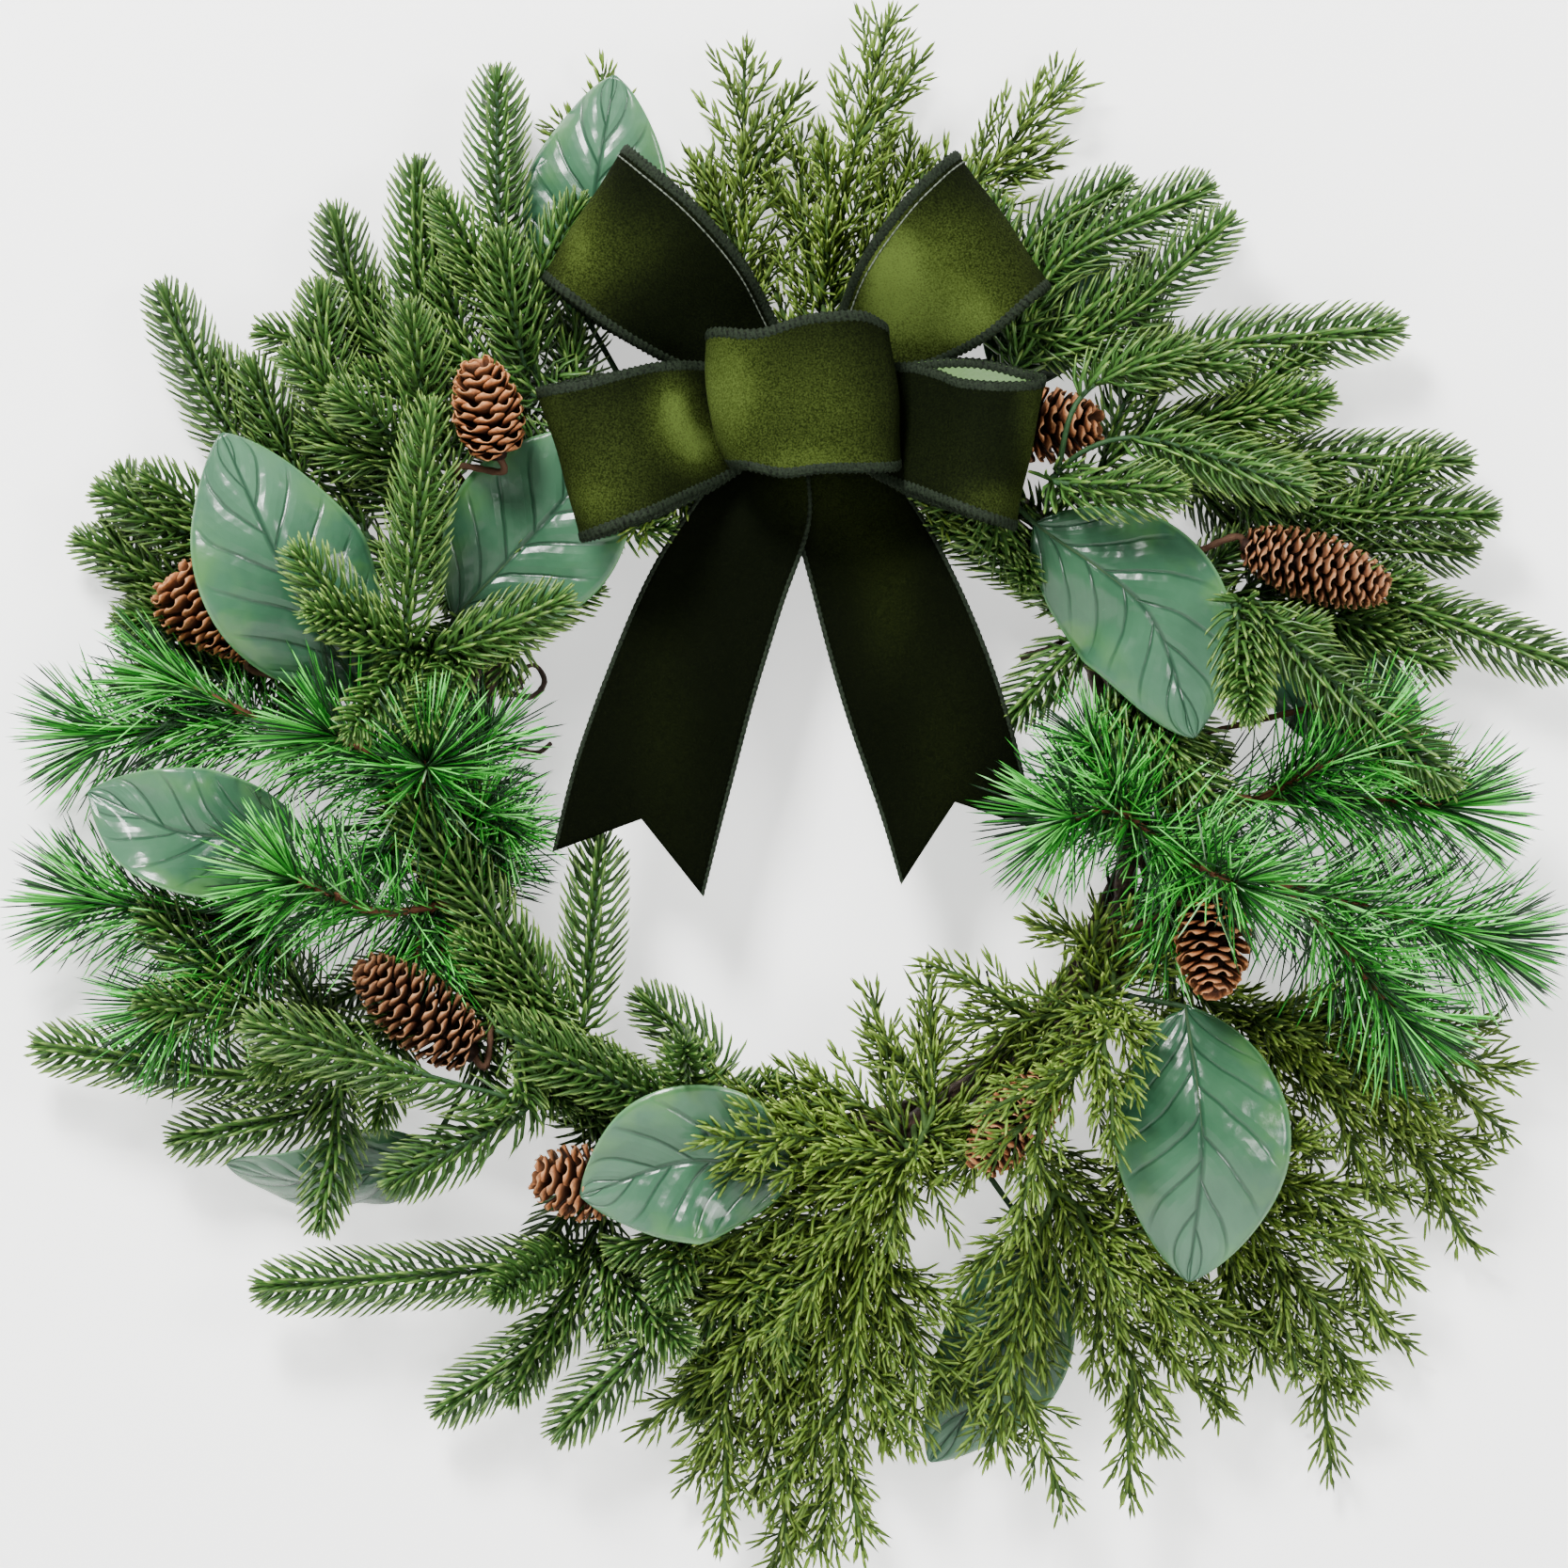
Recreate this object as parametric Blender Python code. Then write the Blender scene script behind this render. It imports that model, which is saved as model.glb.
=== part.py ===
"""A pine cone christmas wreath: a twisted grapevine ring that carries spruce, cedar and long-needle pine
picks, magnolia leaves, pine cones and a velvet bow.

The wreath hangs upright as on a door. Its back faces +Y, its front faces -Y, and the origin is the point of
the ring's inner top that rests on a hook. Places in the tables are millimetres from the centre of the ring:
x to the right, z up, and depth towards the viewer from the plane of the door.
"""

import math
import random

import bpy
import numpy as np
from mathutils import Vector
from mathutils.bvhtree import BVHTree

MM = 0.001

# The grapevine ring.
RING_RADIUS = 143.0
RING_DEPTH = 17.0
VINE_RADIUS = 11.3
VINE_LOBE = 2.5
VINE_LOBES = 3
VINE_TWISTS = 7
VINE_PHASE = math.pi / 2
RING_STEPS = 48
RING_SIDES = 12
HOOK = np.array((0.0, -RING_DEPTH, RING_RADIUS - VINE_RADIUS - VINE_LOBE))

# Clearances.
SEAT_GAP = 0.35
LEAST_DEPTH = 5.0
LIMB_SPACING = 8.0
PLAIN_STEP = 18.0
ROUNDS = 121

# The bow's ribbon.
RIBBON_THICK = 1.0

# Leaves and cones.
BLADE_THICK = 1.0
PETIOLE_WIDTH = 2.6
PETIOLE_THICK = 2.2
CONE_STEM = 1.7

# Name, RGB colour, roughness, metallic value.
MATERIALS = {
    "grapevine": ((0.085, 0.045, 0.028), 0.85, 0.0),
    "velvet_ribbon": ((0.060, 0.095, 0.018), 0.80, 0.0),
    "tie_wire": ((0.030, 0.040, 0.030), 0.45, 0.9),
    "magnolia_leaf": ((0.055, 0.150, 0.090), 0.35, 0.0),
    "pine_cone": ((0.270, 0.115, 0.055), 0.75, 0.0),
    "spruce": ((0.075, 0.200, 0.070), 0.50, 0.0),
    "cedar": ((0.140, 0.220, 0.050), 0.60, 0.0),
    "long_needle": ((0.050, 0.240, 0.060), 0.45, 0.0),
}

# Leaf: ring angle and roll of its root, then the blade's start, middle and tip as (x, z, depth), the blade's
# width, its roll about its own length in degrees, and its cup, the depth by which the edges fall back.
LEAVES = {
    "leaf_top": (112, 15, (-85, 196, 25), (-82, 245, 29), (-74, 296, 24), 60, 8, 5),
    "leaf_left_front": (161, 100, (-175, 42, 52), (-206, 92, 66), (-232, 148, 60), 70, -8, 7),
    "leaf_bow_left": (158, 60, (-139, 74, 37), (-103, 112, 40), (-70, 150, 36), 70, 0, -3),
    "leaf_left": (184, 62, (-200, -13, 46), (-245, -14, 54), (-287, 3, 46), 54, -12, 6),
    "leaf_lower_left": (219, -10, (-150, -143, 18), (-193, -158, 20), (-233, -149, 20), 46, 52, 4),
    "leaf_bottom": (262, 80, (-2, -153, 54), (-42, -146, 67), (-87, -160, 60), 64, 6, 8),
    "leaf_lower_right": (329, 55, (158, -84, 48), (164, -138, 62), (159, -195, 56), 72, -4, 7),
    "leaf_bottom_back": (297, -20, (96, -178, 14), (86, -228, 11), (55, -272, 9), 54, 10, 3),
    "leaf_right": (54, 88, (97, 112, 46), (142, 76, 54), (161, 25, 60), 66, -6, 6),
    "leaf_top_right": (60, -30, (86, 168, 10), (104, 206, 9), (121, 243, 9), 50, 8, 2),
    "leaf_right_back": (13, -25, (190, 54, 9), (224, 46, 8), (257, 35, 8), 50, 6, 2),
}

# Cone: ring angle and roll of its twig's root, base and tip as (x, z, depth), widest radius, the share of its
# length at which it is widest, and a place that the twig bends through on its way, if it needs one.
CONES = {
    "cone_bow_left": (137, 5, (-120, 138, 58), (-129, 178, 74), 14.5, 0.45, (-138, 134, 40)),
    "cone_left": (166, 25, (-222, 56, 30), (-257, 93, 34), 16.5, 0.68, None),
    "cone_bow_right": (61, 10, (80, 153, 27), (126, 152, 38), 15.5, 0.50, None),
    "cone_right": (33, 55, (181, 104, 42), (243, 84, 44), 14.5, 0.50, None),
    "cone_right_back": (9, 5, (232, 36, 28), (258, 4, 29), 14.5, 0.50, None),
    "cone_lower_left": (214, 90, (-130, -104, 51), (-178, -65, 58), 16.0, 0.45, None),
    "cone_bottom_left": (240, 60, (-68, -159, 44), (-108, -152, 49), 15.5, 0.50, None),
    "cone_bottom_right": (315, 80, (104, -112, 50), (72, -151, 56), 14.0, 0.50, None),
    "cone_lower_right": (336, 85, (169, -40, 52), (168, -80, 68), 15.5, 0.45, None),
}

# Picks: ring angle and roll of the root, the fork, then for each tip the start and end of its needled
# length. The first tip carries on the main stem.
SPRUCE = {
    "spruce_top_left": (
        (120, 55, (-106, 172, 32)),
        ((-120, 226, 32), (-122, 294, 28)),
        ((-112, 182, 42), (-119, 226, 48)),
        ((-106, 205, 38), (-88, 241, 40)),
        ((-92, 174, 26), (-89, 205, 22)),
    ),
    "spruce_top_left_tall": (
        (131, 30, (-142, 168, 24)),
        ((-153, 199, 26), (-155, 257, 22)),
        ((-172, 184, 18), (-189, 238, 14)),
    ),
    "spruce_left_high": (
        (141, 50, (-160, 138, 38)),
        ((-186, 146, 38), (-194, 207, 32)),
        ((-152, 160, 50), (-156, 196, 56)),
        ((-166, 150, 54), (-184, 163, 60)),
    ),
    "spruce_left_outer": (
        (148, 15, (-196, 118, 20)),
        ((-230, 148, 20), (-259, 207, 15)),
        ((-204, 134, 24), (-222, 176, 24)),
    ),
    "spruce_left_front": (
        (153, 80, (-152, 60, 54)),
        ((-157, 70, 66), (-146, 156, 74)),
        ((-168, 62, 72), (-199, 98, 84)),
        ((-142, 60, 58), (-95, 80, 56)),
    ),
    "spruce_far_left": (
        (158, 10, (-214, 78, 16)),
        ((-252, 100, 14), (-276, 133, 12)),
        ((-236, 112, 22), (-264, 131, 26)),
        ((-258, 82, 12), (-282, 111, 10)),
        ((-244, 66, 14), (-275, 73, 14)),
        ((-226, 52, 20), (-254, 56, 22)),
    ),
    "spruce_lower_left": (
        (202, 40, (-180, -100, 30)),
        ((-206, -114, 30), (-307, -101, 24)),
        ((-190, -124, 24), (-252, -139, 22)),
        ((-226, -76, 36), (-262, -46, 42)),
    ),
    "spruce_lower_left_front": (
        (209, 100, (-112, -118, 56)),
        ((-124, -118, 66), (-217, -91, 78)),
    ),
    "spruce_left_inner": (
        (225, 115, (-88, -99, 40)),
        ((-98, -84, 46), (-160, 3, 58)),
        ((-86, -88, 38), (-80, -19, 36)),
        ((-124, -84, 36), (-130, -58, 38)),
    ),
    "spruce_bottom_inner": (
        (251, 105, (-46, -124, 38)),
        ((-62, -119, 50), (-122, -92, 74)),
        ((-32, -112, 28), (-61, -82, 24)),
    ),
    "spruce_bottom_left": (
        (229, 70, (-112, -128, 50)),
        ((-122, -133, 58), (-162, -153, 70)),
    ),
    "spruce_bottom_left_low": (
        (243, 0, (-84, -180, 16)),
        ((-104, -190, 26), (-216, -199, 28)),
        ((-92, -212, 22), (-144, -249, 20)),
        ((-52, -206, 30), (-95, -257, 28)),
    ),
    "spruce_bottom": (
        (257, 25, (-34, -178, 32)),
        ((-26, -216, 16), (-41, -249, 13)),
        ((-42, -174, 44), (-72, -182, 48)),
    ),
    "spruce_top_right": (
        (62, 40, (92, 176, 26)),
        ((104, 216, 30), (167, 249, 24)),
        ((92, 222, 24), (134, 252, 16)),
        ((128, 192, 36), (175, 235, 36)),
        ((90, 192, 30), (124, 180, 34)),
    ),
    "spruce_right_long": (
        (48, 30, (142, 152, 22)),
        ((160, 181, 26), (243, 192, 22)),
        ((180, 156, 28), (214, 164, 34)),
        ((196, 140, 20), (271, 138, 20)),
        ((206, 120, 22), (282, 116, 26)),
    ),
    "spruce_bow_right": (
        (45, 85, (104, 130, 42)),
        ((136, 147, 54), (204, 126, 58)),
        ((118, 166, 48), (157, 182, 50)),
        ((106, 128, 60), (152, 124, 72)),
    ),
    "spruce_right_mid": (
        (28, 15, (190, 84, 16)),
        ((238, 82, 20), (312, 56, 24)),
        ((232, 102, 14), (275, 103, 14)),
        ((232, 66, 22), (263, 55, 28)),
    ),
    "spruce_right_front": (
        (24, 60, (184, 80, 50)),
        ((196, 66, 62), (263, 8, 66)),
        ((178, 76, 68), (181, 37, 76)),
    ),
    "spruce_right_inner": (
        (20, 100, (128, 58, 42)),
        ((144, 30, 42), (173, -5, 46)),
        ((118, 66, 36), (89, 35, 34)),
        ((108, 84, 34), (60, 114, 30)),
    ),
}

CEDAR = {
    "cedar_top_left": (
        (97, 20, (-24, 196, 20)),
        ((-22, 240, 22), (-21, 306, 18)),
        ((-30, 218, 16), (-42, 262, 12)),
        ((-62, 226, 12), (-97, 280, 10)),
    ),
    "cedar_top": (
        (86, 20, (14, 196, 22)),
        ((20, 244, 24), (38, 320, 20)),
        ((4, 226, 18), (2, 272, 14)),
        ((34, 228, 18), (48, 268, 14)),
        ((62, 240, 16), (113, 297, 14)),
    ),
    "cedar_right_low": (
        (337, 5, (176, -88, 20)),
        ((222, -98, 22), (294, -111, 18)),
        ((220, -122, 24), (280, -158, 20)),
        ((214, -96, 34), (258, -132, 36)),
    ),
    "cedar_lower_right": (
        (318, 5, (156, -146, 20)),
        ((192, -178, 22), (232, -243, 18)),
        ((206, -156, 26), (250, -196, 26)),
        ((176, -186, 16), (196, -236, 12)),
    ),
    "cedar_bottom_right": (
        (303, 30, (106, -160, 30)),
        ((128, -206, 32), (149, -264, 26)),
        ((92, -204, 34), (79, -268, 30)),
        ((142, -186, 40), (172, -226, 40)),
    ),
    "cedar_bottom": (
        (283, 20, (26, -178, 24)),
        ((22, -236, 24), (9, -309, 18)),
        ((4, -222, 20), (-18, -288, 16)),
        ((-8, -204, 26), (-40, -270, 22)),
        ((46, -220, 26), (48, -262, 24)),
    ),
    "cedar_bottom_front": (
        (290, 85, (46, -146, 48)),
        ((18, -138, 50), (-36, -136, 78)),
        ((10, -160, 46), (-38, -182, 50)),
        ((14, -182, 40), (-38, -206, 44)),
        ((30, -126, 40), (-6, -112, 40)),
        ((56, -120, 38), (32, -98, 34)),
    ),
    "cedar_inner_right": (
        (325, 110, (130, -84, 44)),
        ((118, -104, 72), (76, -146, 82)),
        ((104, -88, 44), (66, -92, 42)),
        ((126, -62, 40), (96, -50, 40)),
        ((146, -110, 42), (136, -158, 44)),
    ),
}

LONG_NEEDLE = {
    "pine_left_front": (
        (197, 70, (-166, -46, 56)),
        ((-178, -42, 64), (-201, -32, 78)),
    ),
    "pine_left_upper": (
        (174, 25, (-204, 22, 24)),
        ((-240, 30, 24), (-282, 26, 22)),
        ((-226, 36, 32), (-250, 48, 38)),
    ),
    "pine_left_lower": (
        (190, 25, (-206, -42, 26)),
        ((-240, -48, 26), (-284, -42, 24)),
        ((-226, -66, 32), (-252, -84, 36)),
    ),
    "pine_left_inner": (
        (177, 100, (-150, 2, 50)),
        ((-150, 6, 58), (-148, 14, 74)),
        ((-164, 14, 56), (-186, 26, 62)),
    ),
    "pine_right_upper": (
        (1, 35, (190, 0, 34)),
        ((222, 2, 40), (262, -2, 42)),
        ((206, 10, 48), (228, 20, 54)),
    ),
    "pine_right_lower": (
        (351, 40, (196, -34, 34)),
        ((232, -44, 38), (276, -56, 38)),
        ((222, -60, 48), (242, -86, 54)),
    ),
    "pine_right_inner": (
        (356, 110, (136, -8, 46)),
        ((128, -4, 52), (110, -8, 60)),
        ((154, -22, 54), (176, -34, 88)),
    ),
}

# Needles of each kind: pitch along the stem, length, lean from the stem in degrees, spread of the lean,
# spread of the azimuth, length of the needles that point to the front and back against those at the sides,
# width of the root, radius of the stem at its root and at its tip, and the reach kept clear round it.
KINDS = {
    "spruce": (20.5, 18.0, 52.0, 5.0, 16.0, 0.8, 2.0, 1.7, 1.2, 4.0),
    "cedar": (20.5, 13.0, 38.0, 8.0, 24.0, 0.9, 2.0, 1.6, 1.0, 3.4),
    "long_needle": (8.5, 38.0, 46.0, 12.0, 26.0, 0.9, 1.6, 1.8, 1.4, 4.2),
}

# The hole in the middle, kept free: left, right, bottom and top, then back and front.
OPENING = (-72.0, 76.0, -70.0, 102.0, -1.0, 33.0)


def place(x, z, depth):
    return np.array((x, -depth, z), float)


def unit(vector):
    return vector / max(np.linalg.norm(vector), 1e-9)


def smooth_path(points, spacing=None, count=None):
    """A Catmull-Rom curve through the points, read at even steps."""
    points = np.asarray(points, float)
    before = 2 * points[0] - points[1]
    after = 2 * points[-1] - points[-2]
    padded = np.vstack((before, points, after))
    dense = []
    for i in range(len(points) - 1):
        a, b, c, d = padded[i : i + 4]
        for t in np.linspace(0, 1, 12, endpoint=False):
            bend = (2 * a - 5 * b + 4 * c - d) * t**2 + (3 * b - a - 3 * c + d) * t**3
            dense.append(0.5 * (2 * b + (c - a) * t + bend))
    dense.append(points[-1])
    dense = np.array(dense)
    travelled = np.concatenate(([0], np.cumsum(np.linalg.norm(np.diff(dense[:, :3], axis=0), axis=1))))
    if count is None:
        count = max(2, round(travelled[-1] / spacing)) + 1
    steps = np.linspace(0, travelled[-1], count)
    return np.stack([np.interp(steps, travelled, dense[:, k]) for k in range(points.shape[1])], axis=1)


def material_of(name):
    """The named material, made on first use."""
    material = bpy.data.materials.get(name)
    if material is None:
        colour, roughness, metallic = MATERIALS[name]
        material = bpy.data.materials.new(name)
        material.use_nodes = True
        shader = material.node_tree.nodes["Principled BSDF"]
        shader.inputs["Base Color"].default_value = (*colour, 1.0)
        shader.inputs["Roughness"].default_value = roughness
        shader.inputs["Metallic"].default_value = metallic
        material.diffuse_color = (*colour, 1.0)
    return material


def facing_out(points, faces):
    corners = points[np.asarray(faces)]
    volume = np.einsum("ij,ij->", corners[:, 0], np.cross(corners[:, 1], corners[:, 2]))
    return faces if volume > 0 else [face[::-1] for face in faces]


def add_object(name, points, faces, material):
    """An object from points in millimetres and triangles, turned to face out."""
    faces = facing_out(points, faces)
    mesh = bpy.data.meshes.new(name)
    lifted = (points - HOOK) * MM
    mesh.from_pydata([tuple(p) for p in lifted.tolist()], [], [tuple(map(int, f)) for f in faces])
    mesh.materials.append(material_of(material))
    node = bpy.data.objects.new(name, mesh)
    bpy.context.scene.collection.objects.link(node)
    return node


def shade(node, angle):
    node.data.shade_smooth()
    node.data.set_sharp_from_angle(angle=math.radians(angle))


def fuse(node, others):
    """Joins the other objects to the node with one Boolean union, and removes them."""
    if not others:
        return
    helper = bpy.data.collections.new(node.name + "_parts")
    bpy.context.scene.collection.children.link(helper)
    for other in others:
        helper.objects.link(other)
        bpy.context.scene.collection.objects.unlink(other)
    join = node.modifiers.new("Join", "BOOLEAN")
    join.operation = "UNION"
    join.operand_type = "COLLECTION"
    join.solver = "MANIFOLD"
    join.collection = helper
    bpy.context.view_layer.update()
    graph = bpy.context.evaluated_depsgraph_get()
    joined = bpy.data.meshes.new_from_object(node.evaluated_get(graph))
    node.modifiers.clear()
    node.data = joined
    for other in others:
        bpy.data.objects.remove(other, do_unlink=True)
    bpy.data.collections.remove(helper)


def slab(grid, thickness):
    """Points and triangles of a thin sheet with the grid as its middle surface."""
    rows, columns = grid.shape[:2]
    along = np.gradient(grid, axis=0)
    across = np.gradient(grid, axis=1)
    normal = np.cross(along, across)
    normal /= np.maximum(np.linalg.norm(normal, axis=2, keepdims=True), 1e-9)
    half = np.broadcast_to(np.asarray(thickness, float), (rows,))[:, None, None] / 2
    points = np.concatenate(((grid + normal * half).reshape(-1, 3), (grid - normal * half).reshape(-1, 3)))
    under = rows * columns
    faces = []
    for i in range(rows - 1):
        for j in range(columns - 1):
            a = i * columns + j
            b = a + columns
            for p, q, r in ((a, b, a + 1), (a + 1, b, b + 1)):
                faces.append((p, q, r))
                faces.append((under + p, under + r, under + q))
    rim = [j for j in range(columns)]
    rim += [i * columns + columns - 1 for i in range(1, rows)]
    rim += [(rows - 1) * columns + j for j in range(columns - 2, -1, -1)]
    rim += [i * columns for i in range(rows - 2, 0, -1)]
    for a, b in zip(rim, rim[1:] + rim[:1]):
        faces.append((a, b, under + a))
        faces.append((b, under + b, under + a))
    return points, faces


def frames_along(path, facing):
    """Tangent, side and front directions at each point of a path. The side lies across the facing."""
    tangent = np.gradient(path, axis=0)
    tangent /= np.maximum(np.linalg.norm(tangent, axis=1, keepdims=True), 1e-9)
    side = np.cross(tangent, facing)
    weak = np.linalg.norm(side, axis=1) < 0.35
    if weak.any():
        spare = np.cross(tangent, (0.0, 0.0, 1.0))
        side[weak] = spare[weak]
    for i in range(1, len(side)):
        if np.dot(side[i], side[i - 1]) < 0:
            side[i] = -side[i]
    side /= np.maximum(np.linalg.norm(side, axis=1, keepdims=True), 1e-9)
    return tangent, side, np.cross(side, tangent)


def tube(path, radius, sides, closed=False):
    """Points and triangles of a tube along a path, with flat ends unless it is closed on itself."""
    path = np.asarray(path, float)
    radius = np.broadcast_to(np.asarray(radius, float), (len(path),))
    if closed:
        ahead = np.roll(path, -1, axis=0) - np.roll(path, 1, axis=0)
        tangent = ahead / np.linalg.norm(ahead, axis=1, keepdims=True)
        side = np.cross(tangent, (1.0, 0.0, 0.0))
        side /= np.linalg.norm(side, axis=1, keepdims=True)
        front = np.cross(side, tangent)
    else:
        tangent, side, front = frames_along(path, (0.0, -1.0, 0.0))
    turns = np.arange(sides) * 2 * math.pi / sides
    around = np.cos(turns)[None, :, None] * side[:, None] + np.sin(turns)[None, :, None] * front[:, None]
    points = (path[:, None] + radius[:, None, None] * around).reshape(-1, 3)
    faces = []
    spans = len(path) if closed else len(path) - 1
    for i in range(spans):
        below = i * sides
        above = (i + 1) % len(path) * sides
        for k in range(sides):
            m = (k + 1) % sides
            faces.append((below + k, below + m, above + m))
            faces.append((below + k, above + m, above + k))
    if not closed:
        last = (len(path) - 1) * sides
        for k in range(1, sides - 1):
            faces.append((0, k + 1, k))
            faces.append((last, last + k, last + k + 1))
    return points, faces


# The ring and the places on its surface.


def ring_point(theta, phi, extra=0.0):
    """A point of the ring's lobed surface at ring angle theta and roll phi, in radians."""
    lobe = math.cos(VINE_LOBES * phi - VINE_TWISTS * theta + VINE_PHASE)
    radius = VINE_RADIUS + VINE_LOBE * lobe + extra
    out = RING_RADIUS + radius * math.cos(phi)
    return place(out * math.cos(theta), out * math.sin(theta), RING_DEPTH + radius * math.sin(phi))


def ring_surface():
    points = []
    faces = []
    for i in range(RING_STEPS):
        for k in range(RING_SIDES):
            points.append(ring_point(2 * math.pi * i / RING_STEPS, 2 * math.pi * k / RING_SIDES))
            a = i * RING_SIDES + k
            b = i * RING_SIDES + (k + 1) % RING_SIDES
            c = (i + 1) % RING_STEPS * RING_SIDES + k
            d = (i + 1) % RING_STEPS * RING_SIDES + (k + 1) % RING_SIDES
            faces += [(a, b, d), (a, d, c)]
    return np.array(points), faces


RING_MESH = ring_surface()
RING_TREE = BVHTree.FromPolygons([Vector(p) for p in RING_MESH[0]], RING_MESH[1])


def seat(angle, roll, gap):
    """The point that stands off the ring's surface by the gap, and the way straight out from there."""
    theta = math.radians(angle)
    phi = math.radians(roll)
    middle = place(RING_RADIUS * math.cos(theta), RING_RADIUS * math.sin(theta), RING_DEPTH)
    out = unit(ring_point(theta, phi, 20.0) - middle)
    hit, normal, _, _ = RING_TREE.ray_cast(Vector(middle + out * 40.0), Vector(-out))
    normal = np.array(normal)
    normal = normal if np.dot(normal, out) > 0 else -normal
    return np.array(hit) + normal * gap, normal


def make_ring():
    ring = add_object("grapevine_ring", *RING_MESH, "grapevine")
    twigs = (
        ((-124, 62, 19), (-121, 47, 22), (-109, 42, 18), (-113, 52, 16)),
        ((-132, 8, 20), (-118, 20, 22), (-106, 19, 22)),
        ((86, 92, 16), (94, 88, 20), (112, 84, 22)),
        ((92, 58, 18), (104, 62, 20), (122, 72, 20)),
    )
    parts = []
    for i, twig in enumerate(twigs):
        path = smooth_path([place(*point) for point in twig], count=5)
        parts.append(add_object(f"twig_{i}", *tube(path, 1.5, 4), "grapevine"))
    fuse(ring, parts)
    shade(ring, 60)


# Leaves.


def leaf_grid(spec, rows, columns, petiole_rows):
    """The leaf's middle surface, petiole first, and the thickness of each row."""
    angle, roll, start, middle, tip, width, turn, cup = spec
    start, middle, tip = (place(*point) for point in (start, middle, tip))
    root, normal = seat(angle, roll, SEAT_GAP + PETIOLE_THICK * 0.15)
    petiole = smooth_path((root, root + normal * 9.0, start), count=petiole_rows + 1)[:-1]
    blade = smooth_path((start, middle, tip), count=rows)
    path = np.vstack((petiole, blade))
    _, side, front = frames_along(path, (0.0, -1.0, 0.0))
    share = np.concatenate((np.zeros(petiole_rows), np.linspace(0, 1, rows)))
    half = width / 2 * np.sin(math.pi * np.clip(share, 0, 1) ** 0.92) ** 0.72
    half = np.maximum(half, PETIOLE_WIDTH / 2)
    half[-1] = 0.9
    half[0] = 1.0
    swing = np.radians(turn) * np.clip(share * 2.5, 0, 1)
    grid = np.empty((len(path), columns, 3))
    for j, v in enumerate(np.linspace(-1, 1, columns)):
        spread = half * v
        fall = -cup * np.abs(v) ** 1.3 * np.sin(math.pi * share)
        wave = 0.03 * width * np.abs(v) ** 2 * np.sin(share * 7.0 + 1.5 * v) * np.sin(math.pi * share)
        across = side * np.cos(swing)[:, None] + front * np.sin(swing)[:, None]
        up = front * np.cos(swing)[:, None] - side * np.sin(swing)[:, None]
        grid[:, j] = path + across * spread[:, None] + up * (fall + wave)[:, None]
    thick = np.where(share > 0, BLADE_THICK, PETIOLE_THICK)
    thick[0] = 1.4
    return grid, thick


def make_leaves():
    for name, spec in LEAVES.items():
        leaf = add_object(name, *slab(*leaf_grid(spec, 6, 5, 3)), "magnolia_leaf")
        shade(leaf, 50)


# Cones.


def twig_route(spec):
    """The places that a cone's twig runs through, from inside the cone's foot to the ring."""
    angle, roll, base, tip, _, _, via = spec
    base, tip = place(*base), place(*tip)
    axis = unit(tip - base)
    root, normal = seat(angle, roll, SEAT_GAP)
    bend = [place(*via)] if via else []
    return [base + axis * 2.0, base - axis * 6.0, *bend, root + normal * 8.0, root]


def cone_surface(spec, rows=6, scales=6):
    """The cone's scales as rows of lips and hollows round its axis, and its twig down to the ring."""
    base, tip, widest, where = place(*spec[2]), place(*spec[3]), spec[4], spec[5]
    axis = unit(tip - base)
    length = np.linalg.norm(tip - base)
    side = unit(np.cross(axis, (0.3, 1.0, 0.2)))
    front = np.cross(side, axis)
    columns = 2 * scales
    skew = math.log(0.5) / math.log(where)

    def outline(t):
        return widest * max(math.sin(math.pi * min(max(0.06 + 0.86 * t, 0.0), 1.0) ** skew), 0.0) ** 0.55

    def ring(t, radius_of):
        row = []
        for j in range(columns):
            radius, lift = radius_of(j)
            turn = 2 * math.pi * j / columns
            out = side * math.cos(turn) + front * math.sin(turn)
            row.append(base + axis * (t * length + lift) + out * radius)
        return row

    rings = []
    step = 1.0 / rows
    for k in range(rows):
        t = k * step
        hollow = 0.64 * outline(t + 0.2 * step)
        rings.append(ring(t, lambda j: (hollow, 0.0)))
        lip = outline(t + 0.8 * step)
        rise = 0.9 * step * length

        def scale_edge(j, lip=lip, k=k, rise=rise):
            return (lip, rise) if (j + k) % 2 == 0 else (0.80 * lip, rise * 0.55)

        rings.append(ring(t, scale_edge))
    points = [p for row in rings for p in row]
    faces = []
    for i in range(len(rings) - 1):
        for j in range(columns):
            m = (j + 1) % columns
            a, b = i * columns + j, i * columns + m
            c, d = a + columns, b + columns
            faces += [(a, b, d), (a, d, c)] if (i + j) % 2 else [(a, b, c), (b, d, c)]
    crown = len(points)
    points.append(base + axis * length * 0.97)
    foot = len(points)
    points.append(base - axis * 1.0)
    last = (len(rings) - 1) * columns
    for j in range(columns):
        m = (j + 1) % columns
        faces.append((last + j, last + m, crown))
        faces.append((m, j, foot))
    twig = smooth_path(twig_route(spec), count=7 if spec[6] else 5)
    return (np.array(points), faces), tube(twig, np.linspace(CONE_STEM, 0.9, len(twig)), 4)


def make_cones():
    for name, spec in CONES.items():
        body, twig = cone_surface(spec)
        cone = add_object(name, *body, "pine_cone")
        fuse(cone, [add_object(name + "_twig", *twig, "pine_cone")])
        shade(cone, 35)


# The bow. A station of a strip is (x, z, depth), then the half width as (x, z, depth).

WAIST = (4.0, 162.0)

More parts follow.
